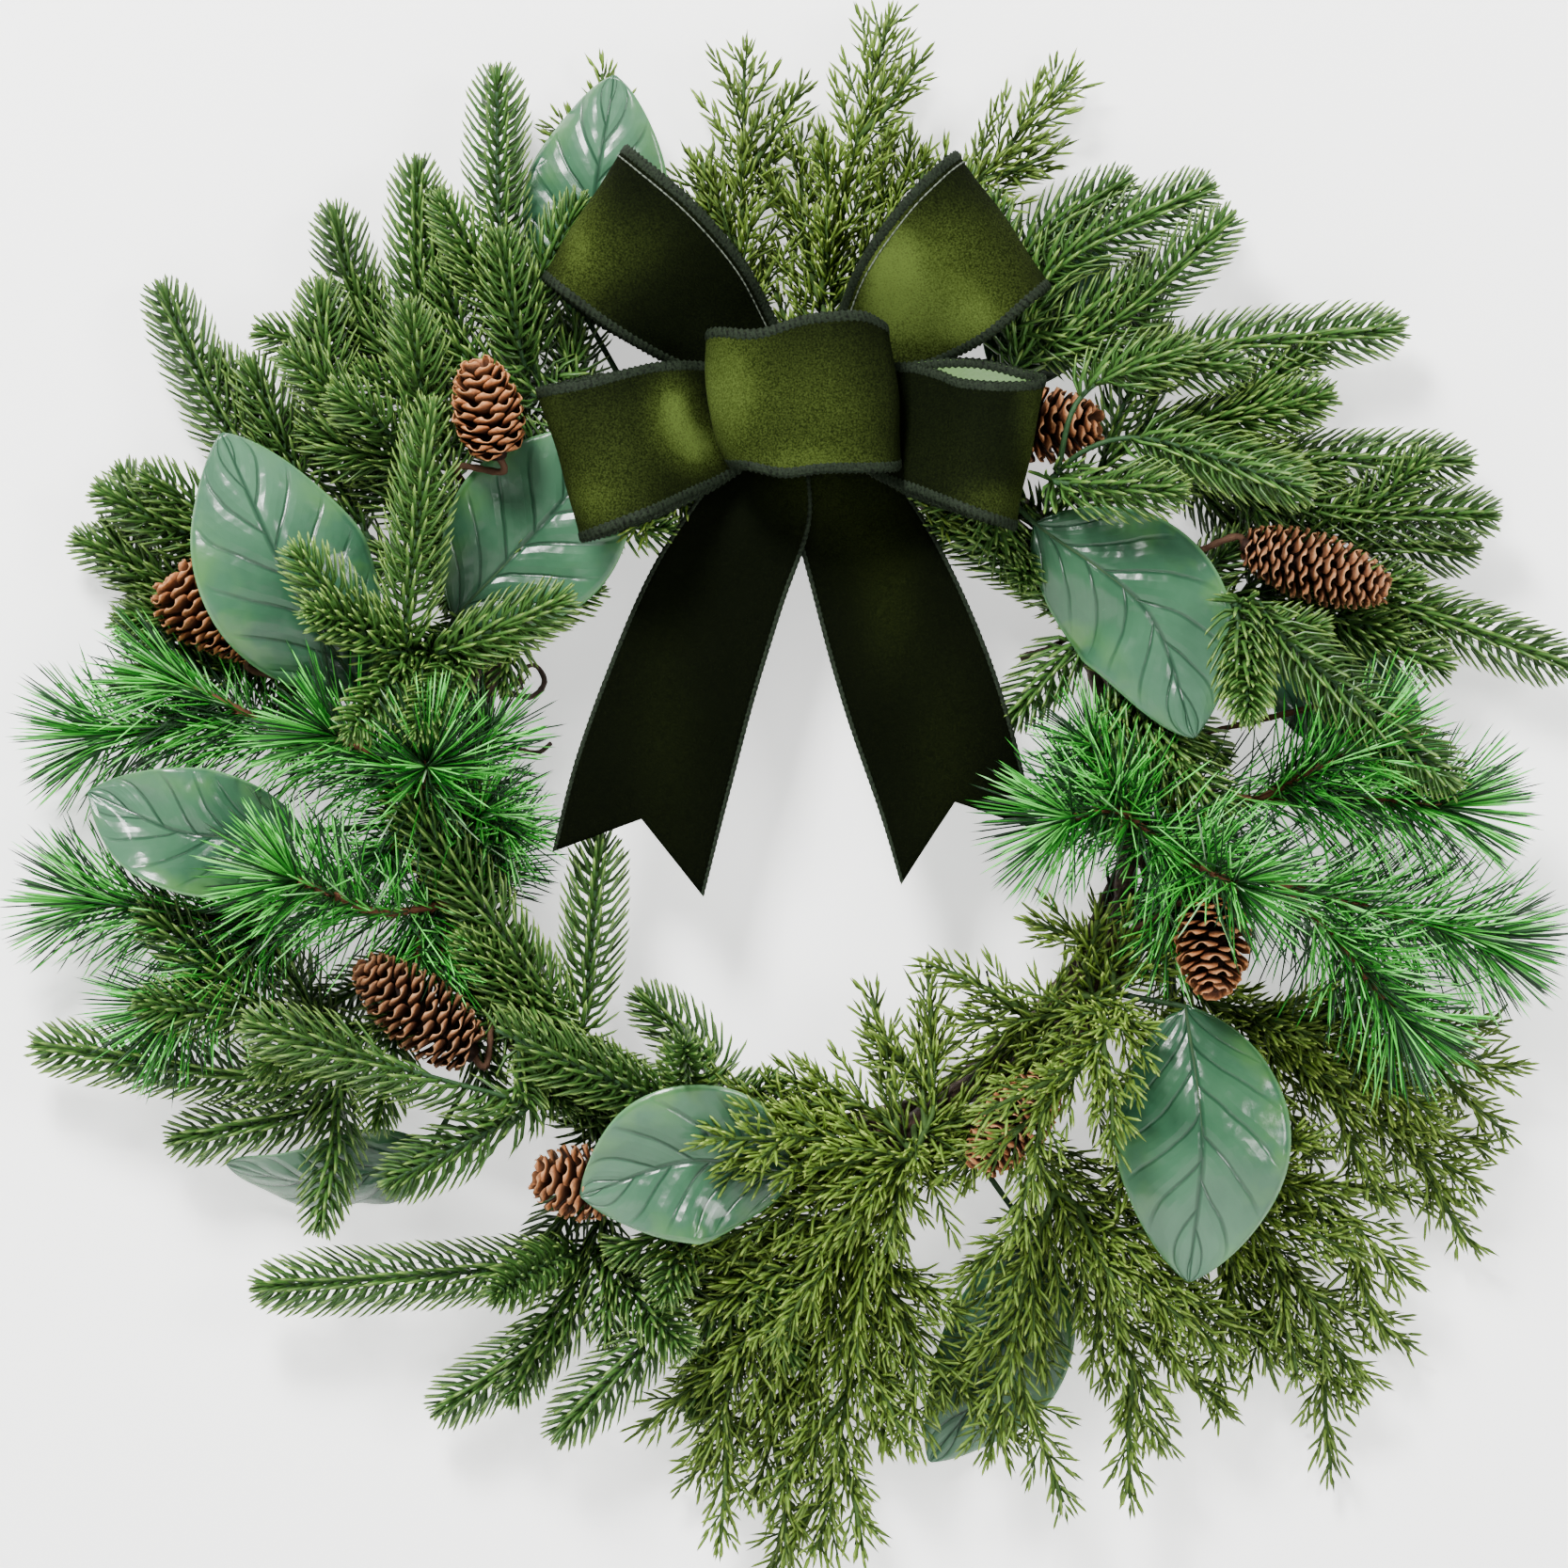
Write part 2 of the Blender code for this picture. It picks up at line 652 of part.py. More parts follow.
UPPER_LOOPS = (
    ((3, 163, 45.6), (4, 8, 0)),
    ((-14, 177, 44.9), (8, 11, 0)),
    ((-36, 197, 39), (14, 19, 1)),
    ((-62, 219, 34), (17, 26, 2)),
    ((-80, 233, 40), (17, 26.5, 2)),
    ((-86, 238, 54), (17, 26.5, 2)),
    ((-78, 231, 66), (17, 26.5, 2)),
    ((-58, 215, 68), (17, 25, 8)),
    ((-36, 197, 56), (15, 20, 9)),
    ((-18, 181, 47.8), (10, 13, 0.5)),
    ((4, 163, 47.0), (0, 9, 0)),
    ((26, 181, 47.8), (-10, 13, 0.5)),
    ((42, 197, 56), (-16, 20, 9)),
    ((60, 213, 68), (-18, 26, 8)),
    ((76, 228, 67), (-19, 27, 2)),
    ((84, 235, 54), (-19, 27, 2)),
    ((78, 230, 40), (-19, 27, 2)),
    ((60, 215, 34), (-18, 26, 2)),
    ((40, 197, 39), (-15, 19, 1)),
    ((22, 177, 44.9), (-8, 11, 0)),
    ((6, 163, 45.6), (-4, 8, 0)),
)

LOWER_LOOPS = (
    ((3, 161, 48.4), (0, 8, 0)),
    ((-16, 155, 50.1), (-3, 15, 0)),
    ((-42, 149, 50.6), (-5, 25, 0)),
    ((-70, 142, 52), (-7, 30, 0)),
    ((-88, 137, 58), (-8, 31, -1)),
    ((-95, 135, 70), (-8, 31, -2)),
    ((-88, 137, 82), (-8, 31, -3)),
    ((-68, 143, 84), (-7, 30, -4)),
    ((-48, 149, 70), (-5, 27, -2)),
    ((-28, 154, 54.5), (-4, 22, 0)),
    ((4, 162, 49.8), (0, 9, 0)),
    ((32, 154, 54.0), (2, 22, 0)),
    ((52, 149, 70), (2, 26, -3)),
    ((70, 145, 84), (4, 29, -5)),
    ((86, 141, 82), (6, 30, -5)),
    ((94, 140, 70), (6, 31, -2)),
    ((88, 142, 58), (5, 31, 0)),
    ((70, 147, 52), (3, 31, 0)),
    ((46, 151, 50.6), (3, 26, 0)),
    ((22, 156, 49.2), (2, 15, 0)),
    ((5, 161, 48.4), (0, 8, 0)),
)

TAILS = (
    ((-68, -30, 47), (30, -9, -2)),
    ((-59, 6, 46), (30, -9, -1)),
    ((-46, 48, 46), (28, -9, 1)),
    ((-32, 86, 46), (25, -9, 0)),
    ((-18, 118, 45.5), (18.5, -8, 0)),
    ((-7, 146, 44.6), (9, -7, 0)),
    ((4, 158, 44.2), (0, -8, 0)),
    ((15, 146, 43.6), (-9, -7, 0)),
    ((26, 118, 42.0), (-18.5, -7, 0)),
    ((36, 86, 42), (-26, -9, 0)),
    ((49, 48, 43), (-29, -10, 1)),
    ((62, 8, 43), (-28, -11, 4)),
    ((70, -23, 45), (-27, -11, 8)),
)

# The wire round the waist and the ring: its radius, its place along x, and the height and depth of its bends
# from the bottom of the waist over the front to the top.
WIRE_RADIUS = 0.7
WIRE_X = 4.0
WIRE_FRONT = (
    (136.0, 34.5),
    (141.6, 40.0),
    (142.0, 46.5),
    (147.2, 50.0),
    (152.0, 51.15),
    (172.0, 51.15),
    (177.4, 49.6),
    (177.4, 44.0),
    (167.0, 31.0),
)

CENTRE_LOOP_WIDE = 39.0
CENTRE_LOOP_DEEP = 18.0
CENTRE_LOOP_BACK = 52.5
CENTRE_LOOP_STEPS = 18
CENTRE_LOOP_GAP = math.radians(1)


def strip_grid(stations, rows, columns):
    table = np.array([[*place(*centre), *place(*half)] for centre, half in stations])
    path = smooth_path(table, count=rows)
    spread = np.linspace(-1, 1, columns)[None, :, None]
    return path[:, None, :3] + path[:, None, 3:] * spread


def centre_loop_grid(rows, columns):
    """An oval band with its axis upright, open at its top and bottom, with its ends at the back."""
    turns = np.linspace(CENTRE_LOOP_GAP, 2 * math.pi - CENTRE_LOOP_GAP, rows)
    grid = np.empty((rows, columns, 3))
    for i, turn in enumerate(turns):
        x = WAIST[0] - 1 + CENTRE_LOOP_WIDE * math.sin(turn)
        depth = CENTRE_LOOP_BACK + CENTRE_LOOP_DEEP * (1 - math.cos(turn))
        front = (1 - math.cos(turn)) / 2
        for j, v in enumerate(np.linspace(-1, 1, columns)):
            half = 24.0 + 7.5 * front
            z = WAIST[1] - 1.5 * front + v * half - 2.5 * front * math.cos(turn) * v**2
            grid[i, j] = place(x, z, depth)
    return grid


def notched(grid):
    """Cuts a V into both ends by pulling the middle of the end rows back."""
    grid = grid.copy()
    middle = grid.shape[1] // 2
    for end, inner in ((0, 1), (-1, -2)):
        grid[end, middle] += (grid[inner, middle] - grid[end, middle]) * 0.8
    return grid


def make_bow():
    grids = {
        "ribbon_loops_upper": strip_grid(UPPER_LOOPS, 32, 3),
        "ribbon_loops_lower": strip_grid(LOWER_LOOPS, 32, 3),
        "ribbon_tails": notched(strip_grid(TAILS, 17, 3)),
        "ribbon_centre_loop": centre_loop_grid(CENTRE_LOOP_STEPS, 4),
    }
    for name, grid in grids.items():
        shade(add_object(name, *slab(grid, RIBBON_THICK), "velvet_ribbon"), 50)
    path = [place(WIRE_X, z, depth) for z, depth in WIRE_FRONT]
    reach = VINE_RADIUS + VINE_LOBE + WIRE_RADIUS + 2 * SEAT_GAP
    for roll in np.radians(range(15, -240, -30)):
        path.append(place(WIRE_X, RING_RADIUS + reach * math.cos(roll), RING_DEPTH + reach * math.sin(roll)))
    wire = tube(np.array(path), WIRE_RADIUS, 4, closed=True)
    shade(add_object("tie_wire", *wire, "tie_wire"), 50)


# Picks: where their limbs run.


def solid_points():
    """Points over the leaves, cones and ribbons, with the reach that limbs keep from each."""
    found = []
    for spec in LEAVES.values():
        grid = leaf_grid(spec, 15, 9, 6)[0]
        petiole = smooth_path(grid[:7, 4], spacing=4.0)
        blade = grid[6:].reshape(-1, 3)
        found.append(np.column_stack((petiole, np.full(len(petiole), 3.0))))
        found.append(np.column_stack((blade, np.full(len(blade), 2.6))))
    for spec in CONES.values():
        base, tip, widest = place(*spec[2]), place(*spec[3]), spec[4]
        for t in np.linspace(0.05, 0.95, 7):
            found.append(np.array([[*(base + (tip - base) * t), widest + 1.5]]))
        twig = smooth_path(twig_route(spec), spacing=5.0)
        found.append(np.column_stack((twig, np.full(len(twig), 2.4))))
    for stations, rows in ((UPPER_LOOPS, 56), (LOWER_LOOPS, 56), (TAILS, 36)):
        grid = strip_grid(stations, rows, 9)
        found.append(np.column_stack((grid.reshape(-1, 3), np.full(grid.shape[0] * 9, 2.6))))
    return np.vstack(found)


def limbs_of_pick(spec):
    """Control polylines of a pick: the main limb from the ring to its first tip, then the side limbs."""
    (angle, roll, fork), *tips = spec
    root, normal = seat(angle, roll, SEAT_GAP)
    fork = place(*fork)
    start, end = (place(*point) for point in tips[0])
    main = smooth_path((root, root + normal * LIMB_SPACING, fork, start, end), spacing=LIMB_SPACING)
    nearest = int(np.argmin(np.linalg.norm(main - fork, axis=1)))
    limbs = [(main, None)]
    for start, end in tips[1:]:
        side = smooth_path((main[nearest], place(*start), place(*end)), spacing=LIMB_SPACING)
        limbs.append((side, nearest))
    return limbs


def relaxed_limbs(picks):
    """Bends the limbs of all picks clear of each other, of the ring and of the solid pieces."""
    points = []
    reach = []
    group = []
    held = []
    chains = {}
    for number, (name, (kind, spec)) in enumerate(picks.items()):
        wide = KINDS[kind][-1]
        chains[name] = []
        for path, parent in limbs_of_pick(spec):
            chain = []
            if parent is not None:
                chain.append(chains[name][0][parent])
                path = path[1:]
            for i, point in enumerate(path):
                chain.append(len(points))
                points.append(point)
                early = parent is None and i < 4
                reach.append(2.2 + (wide - 2.2) * i / 4 if early else wide)
                group.append(number)
                held.append(parent is None and i < 2)
            chains[name].append(chain)
    points = np.array(points)
    reach = np.array(reach)
    group = np.array(group)
    held = np.array(held)
    goal = points.copy()
    runs = [chain for limbs in chains.values() for chain in limbs]
    links = np.array([pair for run in runs for pair in zip(run, run[1:])])
    bends = np.array([trio for run in runs for trio in zip(run, run[1:], run[2:])])
    rest = np.linalg.norm(points[links[:, 0]] - points[links[:, 1]], axis=1)
    curve = goal[bends[:, 0]] + goal[bends[:, 2]] - 2 * goal[bends[:, 1]]
    solids = solid_points()
    apart = group[:, None] != group[None]
    loose = ~held
    prefer = np.array((0.55, 1.0, 0.55))
    for turn in range(ROUNDS):
        push = np.zeros_like(points)
        delta = points[:, None] - points[None]
        distance = np.linalg.norm(delta, axis=2) + 1e-6
        need = reach[:, None] + reach[None]
        lack = np.where(apart & (distance < need), need - distance, 0.0)
        push += 0.5 * np.einsum("ij,ijk->ik", lack / distance, delta)
        if turn % 3 == 0:
            delta = points[:, None] - solids[None, :, :3]
            distance = np.linalg.norm(delta, axis=2) + 1e-6
            lack = np.maximum(reach[:, None] * 0.8 + solids[None, :, 3] - distance, 0.0)
            most = lack.argmax(axis=1)
            row = np.arange(len(points))
            push += (lack[row, most] / distance[row, most])[:, None] * delta[row, most] * 1.6
        flat = np.hypot(points[:, 0], points[:, 2])
        off = 1 - RING_RADIUS / flat
        from_core = np.column_stack((points[:, 0] * off, points[:, 1] + RING_DEPTH, points[:, 2] * off))
        distance = np.linalg.norm(from_core, axis=1)
        lack = np.maximum(VINE_RADIUS + VINE_LOBE + 3.5 - distance, 0.0)
        push += (lack / distance)[:, None] * from_core
        points += np.where(loose[:, None], push * prefer, 0.0)
        pull = np.zeros_like(points)
        bent = points[bends[:, 0]] + points[bends[:, 2]] - 2 * points[bends[:, 1]] - curve
        np.add.at(pull, bends[:, 1], bent * 0.22)
        points += np.where(loose[:, None], pull + (goal - points) * 0.02, 0.0)
        for _ in range(2):
            span = points[links[:, 1]] - points[links[:, 0]]
            length = np.linalg.norm(span, axis=1)
            fix = (span * ((length - rest) / length)[:, None]) * 0.4
            move = np.zeros_like(points)
            np.add.at(move, links[:, 0], fix)
            np.add.at(move, links[:, 1], -fix)
            points += np.where(loose[:, None], move, 0.0)
        points[:, 1] = np.minimum(points[:, 1], -LEAST_DEPTH)
    return {name: [points[chain] for chain in limbs] for name, limbs in chains.items()}


# Needles.


def segment_gaps(a, b, starts, ends):
    """Distances from the segment a-b to each of many segments."""
    d1 = b - a
    d2 = ends - starts
    r = a - starts
    aa = d1 @ d1
    ee = np.einsum("ij,ij->i", d2, d2) + 1e-9
    ff = np.einsum("ij,ij->i", d2, r)
    cc = r @ d1
    bb = d2 @ d1
    denominator = aa * ee - bb * bb
    s = np.clip(np.where(denominator > 1e-9, (bb * ff - cc * ee) / np.maximum(denominator, 1e-9), 0.0), 0, 1)
    t = np.clip((bb * s + ff) / ee, 0, 1)
    s = np.clip((bb * t - cc) / aa, 0, 1)
    return np.linalg.norm(a + s[:, None] * d1 - starts - t[:, None] * d2, axis=1)


class Clearance:
    """What is already placed: stems and needles as segments, and all else as one surface."""

    def __init__(self, tree, limbs):
        self.tree = tree
        starts, ends, owner = [], [], []
        for number, (name, paths) in enumerate(limbs.items()):
            for index, path in enumerate(paths):
                path = smooth_path(path, spacing=4.0)
                starts.append(path[:-1])
                ends.append(path[1:])
                owner += [number * 100 + index] * (len(path) - 1)
        self.starts, self.ends = np.vstack(starts), np.vstack(ends)
        self.owner = np.array(owner)
        self.needle_starts = np.zeros((4000, 3))
        self.needle_ends = np.full((4000, 3), 1e-3)
        self.count = 0

    def free(self, root, tip, owner):
        left, right, bottom, top, back, front = OPENING
        body = root + (tip - root) * 0.15
        for t in (0.35, 0.6, 0.8, 1.0):
            x, y, z = root + (tip - root) * t
            over = left - 2 < x < right + 2 and bottom - 2 < z < top + 2
            if over and back - 2 < -y < front + 2:
                return False
        if -tip[1] < 1.0:
            return False
        other = self.owner != owner
        if segment_gaps(body, tip, self.starts[other], self.ends[other]).min() < 3.0:
            return False
        if self.count:
            placed = slice(0, self.count)
            if segment_gaps(body, tip, self.needle_starts[placed], self.needle_ends[placed]).min() < 1.7:
                return False
        for t in np.arange(3.0, np.linalg.norm(tip - root), 1.6) / np.linalg.norm(tip - root):
            if self.tree.find_nearest(Vector(root + (tip - root) * t), 1.5)[0] is not None:
                return False
        return True

    def keep(self, root, tip):
        self.needle_starts[self.count] = root + (tip - root) * 0.15
        self.needle_ends[self.count] = tip
        self.count += 1


def limb_surface(path, kind, bare, forks, clear, owner, draw):
    """A four-sided stem with one straight tapered needle to each side at every step, and a pointed end.

    It has a cut at each fork, so that the side limbs start inside it.
    """
    pitch, long, lean, lean_spread, turn_spread, shallow, root_width, thick, thin, _ = KINDS[kind]
    fine = smooth_path(path, spacing=2.0)
    travelled = np.concatenate(([0], np.cumsum(np.linalg.norm(np.diff(fine, axis=0), axis=1))))
    length = travelled[-1]
    tangent, side, front = frames_along(fine, (0.0, -1.0, 0.0))

    def at(distance, table):
        return np.array([np.interp(distance, travelled, table[:, k]) for k in range(3)])

    cuts = [(0.0, False)]
    joints = [travelled[int(np.argmin(np.linalg.norm(fine - fork, axis=1)))] for fork in forks]
    first = max([bare] + [joint + 2.0 for joint in joints])
    plain = list(np.linspace(0, first, max(1, round(first / PLAIN_STEP)) + 1)[1:-1])
    for joint in joints:
        plain = [s for s in plain if abs(s - joint) > 5.0] + [joint]
    cuts += [(float(s), False) for s in sorted(plain)]
    steps = max(1, int((length - first) / pitch))
    for i in range(steps):
        middle = first + (i + 0.5) * (length - first) / steps
        cuts += [(middle - root_width / 2, True), (middle + root_width / 2, False)]
    cuts.append((length, False))
    points = []
    for distance, _ in cuts:
        centre, s, f = at(distance, fine), unit(at(distance, side)), unit(at(distance, front))
        radius = thick + (thin - thick) * distance / length
        radius = min(radius, 0.9) if distance == 0.0 else radius
        for quarter in range(4):
            turn = math.pi / 4 + quarter * math.pi / 2
            points.append(centre + (s * math.cos(turn) + f * math.sin(turn)) * radius)
    faces = [(0, 2, 1), (0, 3, 2)]
    for i, (distance, needled) in enumerate(cuts[:-1]):
        for quarter in range(4):
            a, b = 4 * i + quarter, 4 * i + (quarter + 1) % 4
            c, d = a + 4, b + 4
            apex = None
            if needled:
                centre = (points[a] + points[b] + points[c] + points[d]) / 4
                middle = distance + root_width / 2
                t, s, f = at(middle, tangent), unit(at(middle, side)), unit(at(middle, front))
                flat = quarter in (1, 3)
                for _ in range(7):
                    turn = math.radians(90.0 * (quarter + 1) + draw.uniform(-turn_spread, turn_spread))
                    tilt = math.radians(lean + draw.uniform(-lean_spread, lean_spread))
                    end_taper = min(1.0, 0.55 + (length - middle) / 40.0)
                    reach = long * (shallow if not flat else 1.0) * end_taper * draw.uniform(0.92, 1.05)
                    way = t * math.cos(tilt) + (s * math.cos(turn) + f * math.sin(turn)) * math.sin(tilt)
                    tip = centre + way * reach
                    if clear.free(centre, tip, owner):
                        clear.keep(centre, tip)
                        apex = len(points)
                        points.append(tip)
                        break
            if apex is None:
                faces += [(a, b, d), (a, d, c)]
            else:
                faces += [(a, b, apex), (b, d, apex), (d, c, apex), (c, a, apex)]
    last = 4 * (len(cuts) - 1)
    apex = len(points)
    points.append(fine[-1] + unit(tangent[-1]) * long * 0.35)
    for quarter in range(4):
        faces.append((last + quarter, last + (quarter + 1) % 4, apex))
    return np.array(points), faces


def make_picks(tree):
    picks = {name: ("spruce", spec) for name, spec in SPRUCE.items()}
    picks.update({name: ("cedar", spec) for name, spec in CEDAR.items()})
    picks.update({name: ("long_needle", spec) for name, spec in LONG_NEEDLE.items()})
    limbs = relaxed_limbs(picks)
    clear = Clearance(tree, limbs)
    for number, (name, (kind, spec)) in enumerate(picks.items()):
        draw = random.Random(number + 7)
        parts = []
        for index, path in enumerate(limbs[name]):
            (_, _, fork), *tips = spec
            start = place(*tips[index][0])
            steps = np.linalg.norm(path - start, axis=1)
            bare = LIMB_SPACING * int(np.argmin(steps)) * 0.8
            forks = [limbs[name][1][0]] if index == 0 and len(tips) > 1 else []
            surface = limb_surface(path, kind, max(bare, 4.0), forks, clear, number * 100 + index, draw)
            parts.append(add_object(name if index == 0 else f"{name}_{index}", *surface, kind))
        fuse(parts[0], parts[1:])


def tree_of(nodes):
    """One search tree over the surfaces of the nodes, in millimetres from the ring's centre."""
    corners = []
    faces = []
    for node in nodes:
        shift = len(corners)
        corners += [v.co / MM + Vector(HOOK) for v in node.data.vertices]
        faces += [[shift + i for i in face.vertices] for face in node.data.polygons]
    return BVHTree.FromPolygons(corners, faces)


def main():
    for old in list(bpy.data.objects):
        bpy.data.objects.remove(old, do_unlink=True)
    make_ring()
    make_leaves()
    make_cones()
    make_bow()
    make_picks(tree_of(list(bpy.context.scene.collection.objects)))


main()
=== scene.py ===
"""The look of the pine cone wreath: fine needles, scales, leaves, twisted vines and velvet.

Places in the tables are millimetres from the centre of the ring: x to the right, z up, and depth towards the
viewer from the plane of the door.
"""

import math

import bpy
import numpy as np
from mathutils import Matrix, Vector
from mathutils.bvhtree import BVHTree


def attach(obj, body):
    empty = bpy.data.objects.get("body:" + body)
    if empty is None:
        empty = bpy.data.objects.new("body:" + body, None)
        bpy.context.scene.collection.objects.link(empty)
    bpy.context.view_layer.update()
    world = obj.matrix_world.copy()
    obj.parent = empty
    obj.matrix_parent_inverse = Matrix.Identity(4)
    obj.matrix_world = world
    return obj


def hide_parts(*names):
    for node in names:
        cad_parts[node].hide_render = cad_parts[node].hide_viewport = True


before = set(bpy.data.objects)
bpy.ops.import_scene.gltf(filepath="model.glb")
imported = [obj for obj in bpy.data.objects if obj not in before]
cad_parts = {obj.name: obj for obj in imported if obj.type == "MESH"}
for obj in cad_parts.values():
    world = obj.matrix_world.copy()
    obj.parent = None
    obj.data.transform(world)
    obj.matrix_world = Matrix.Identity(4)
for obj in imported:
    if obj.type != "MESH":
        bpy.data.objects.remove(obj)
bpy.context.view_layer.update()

MM = 0.001
GOLDEN = math.radians(137.508)
TO_VIEWER = (0.0, -1.0, 0.0)

# Needles end between these depths, and above this height.
LEAST_NEEDLE_DEPTH = 0.5
MOST_NEEDLE_DEPTH = 115.0
LOWEST_NEEDLE = -331.0

# The ring's lobed surface, which every stem, stalk and twig starts just clear of.
RING_RADIUS = 143.0
RING_DEPTH = 17.0
VINE_RADIUS = 11.3
VINE_LOBE = 2.5
VINE_LOBES = 3
VINE_TWISTS = 7
VINE_PHASE = math.pi / 2
RING_STEPS = 48
RING_SIDES = 12
HOOK = np.array((0.0, -RING_DEPTH, RING_RADIUS - VINE_RADIUS - VINE_LOBE))
SEAT_GAP = 0.35

# The limbs of the picks: the least depth and the spacing of their points, and the rounds in which they are
# bent clear. The first points of a pick start at the root's reach.
LEAST_DEPTH = 5.0
LIMB_SPACING = 8.0
ROUNDS = 121
ROOT_REACH = 2.2
ROOT_POINTS = 4
RING_REACH = 3.5
LIMB_REACH = {"spruce": 4.0, "cedar": 3.4, "long_needle": 4.2}

PETIOLE_WIDTH = 2.6
PETIOLE_THICK = 2.2

# Leaf: ring angle and roll of its root, then the blade's start, middle and tip as (x, z, depth), the blade's
# width, its roll about its own length in degrees, and its cup, the depth by which the edges fall back.
LEAVES = {
    "leaf_top": (112, 15, (-85, 196, 25), (-82, 245, 29), (-74, 296, 24), 60, 8, 5),
    "leaf_left_front": (161, 100, (-175, 42, 52), (-206, 92, 66), (-232, 148, 60), 70, -8, 7),
    "leaf_bow_left": (158, 60, (-139, 74, 37), (-103, 112, 40), (-70, 150, 36), 70, 0, -3),
    "leaf_left": (184, 62, (-200, -13, 46), (-245, -14, 54), (-287, 3, 46), 54, -12, 6),
    "leaf_lower_left": (219, -10, (-150, -143, 18), (-193, -158, 20), (-233, -149, 20), 46, 52, 4),
    "leaf_bottom": (262, 80, (-2, -153, 54), (-42, -146, 67), (-87, -160, 60), 64, 6, 8),
    "leaf_lower_right": (329, 55, (158, -84, 48), (164, -138, 62), (159, -195, 56), 72, -4, 7),
    "leaf_bottom_back": (297, -20, (96, -178, 14), (86, -228, 11), (55, -272, 9), 54, 10, 3),
    "leaf_right": (54, 88, (97, 112, 46), (142, 76, 54), (161, 25, 60), 66, -6, 6),
    "leaf_top_right": (60, -30, (86, 168, 10), (104, 206, 9), (121, 243, 9), 50, 8, 2),
    "leaf_right_back": (13, -25, (190, 54, 9), (224, 46, 8), (257, 35, 8), 50, 6, 2),
}

# Cone: ring angle and roll of its twig's root, base and tip as (x, z, depth), widest radius, the share of its
# length at which it is widest, and a place that the twig bends through on its way, if it needs one.
CONES = {
    "cone_bow_left": (137, 5, (-120, 138, 58), (-129, 178, 74), 14.5, 0.45, (-138, 134, 40)),
    "cone_left": (166, 25, (-222, 56, 30), (-257, 93, 34), 16.5, 0.68, None),
    "cone_bow_right": (61, 10, (80, 153, 27), (126, 152, 38), 15.5, 0.50, None),
    "cone_right": (33, 55, (181, 104, 42), (243, 84, 44), 14.5, 0.50, None),
    "cone_right_back": (9, 5, (232, 36, 28), (258, 4, 29), 14.5, 0.50, None),
    "cone_lower_left": (214, 90, (-130, -104, 51), (-178, -65, 58), 16.0, 0.45, None),
    "cone_bottom_left": (240, 60, (-68, -159, 44), (-108, -152, 49), 15.5, 0.50, None),
    "cone_bottom_right": (315, 80, (104, -112, 50), (72, -151, 56), 14.0, 0.50, None),
    "cone_lower_right": (336, 85, (169, -40, 52), (168, -80, 68), 15.5, 0.45, None),
}

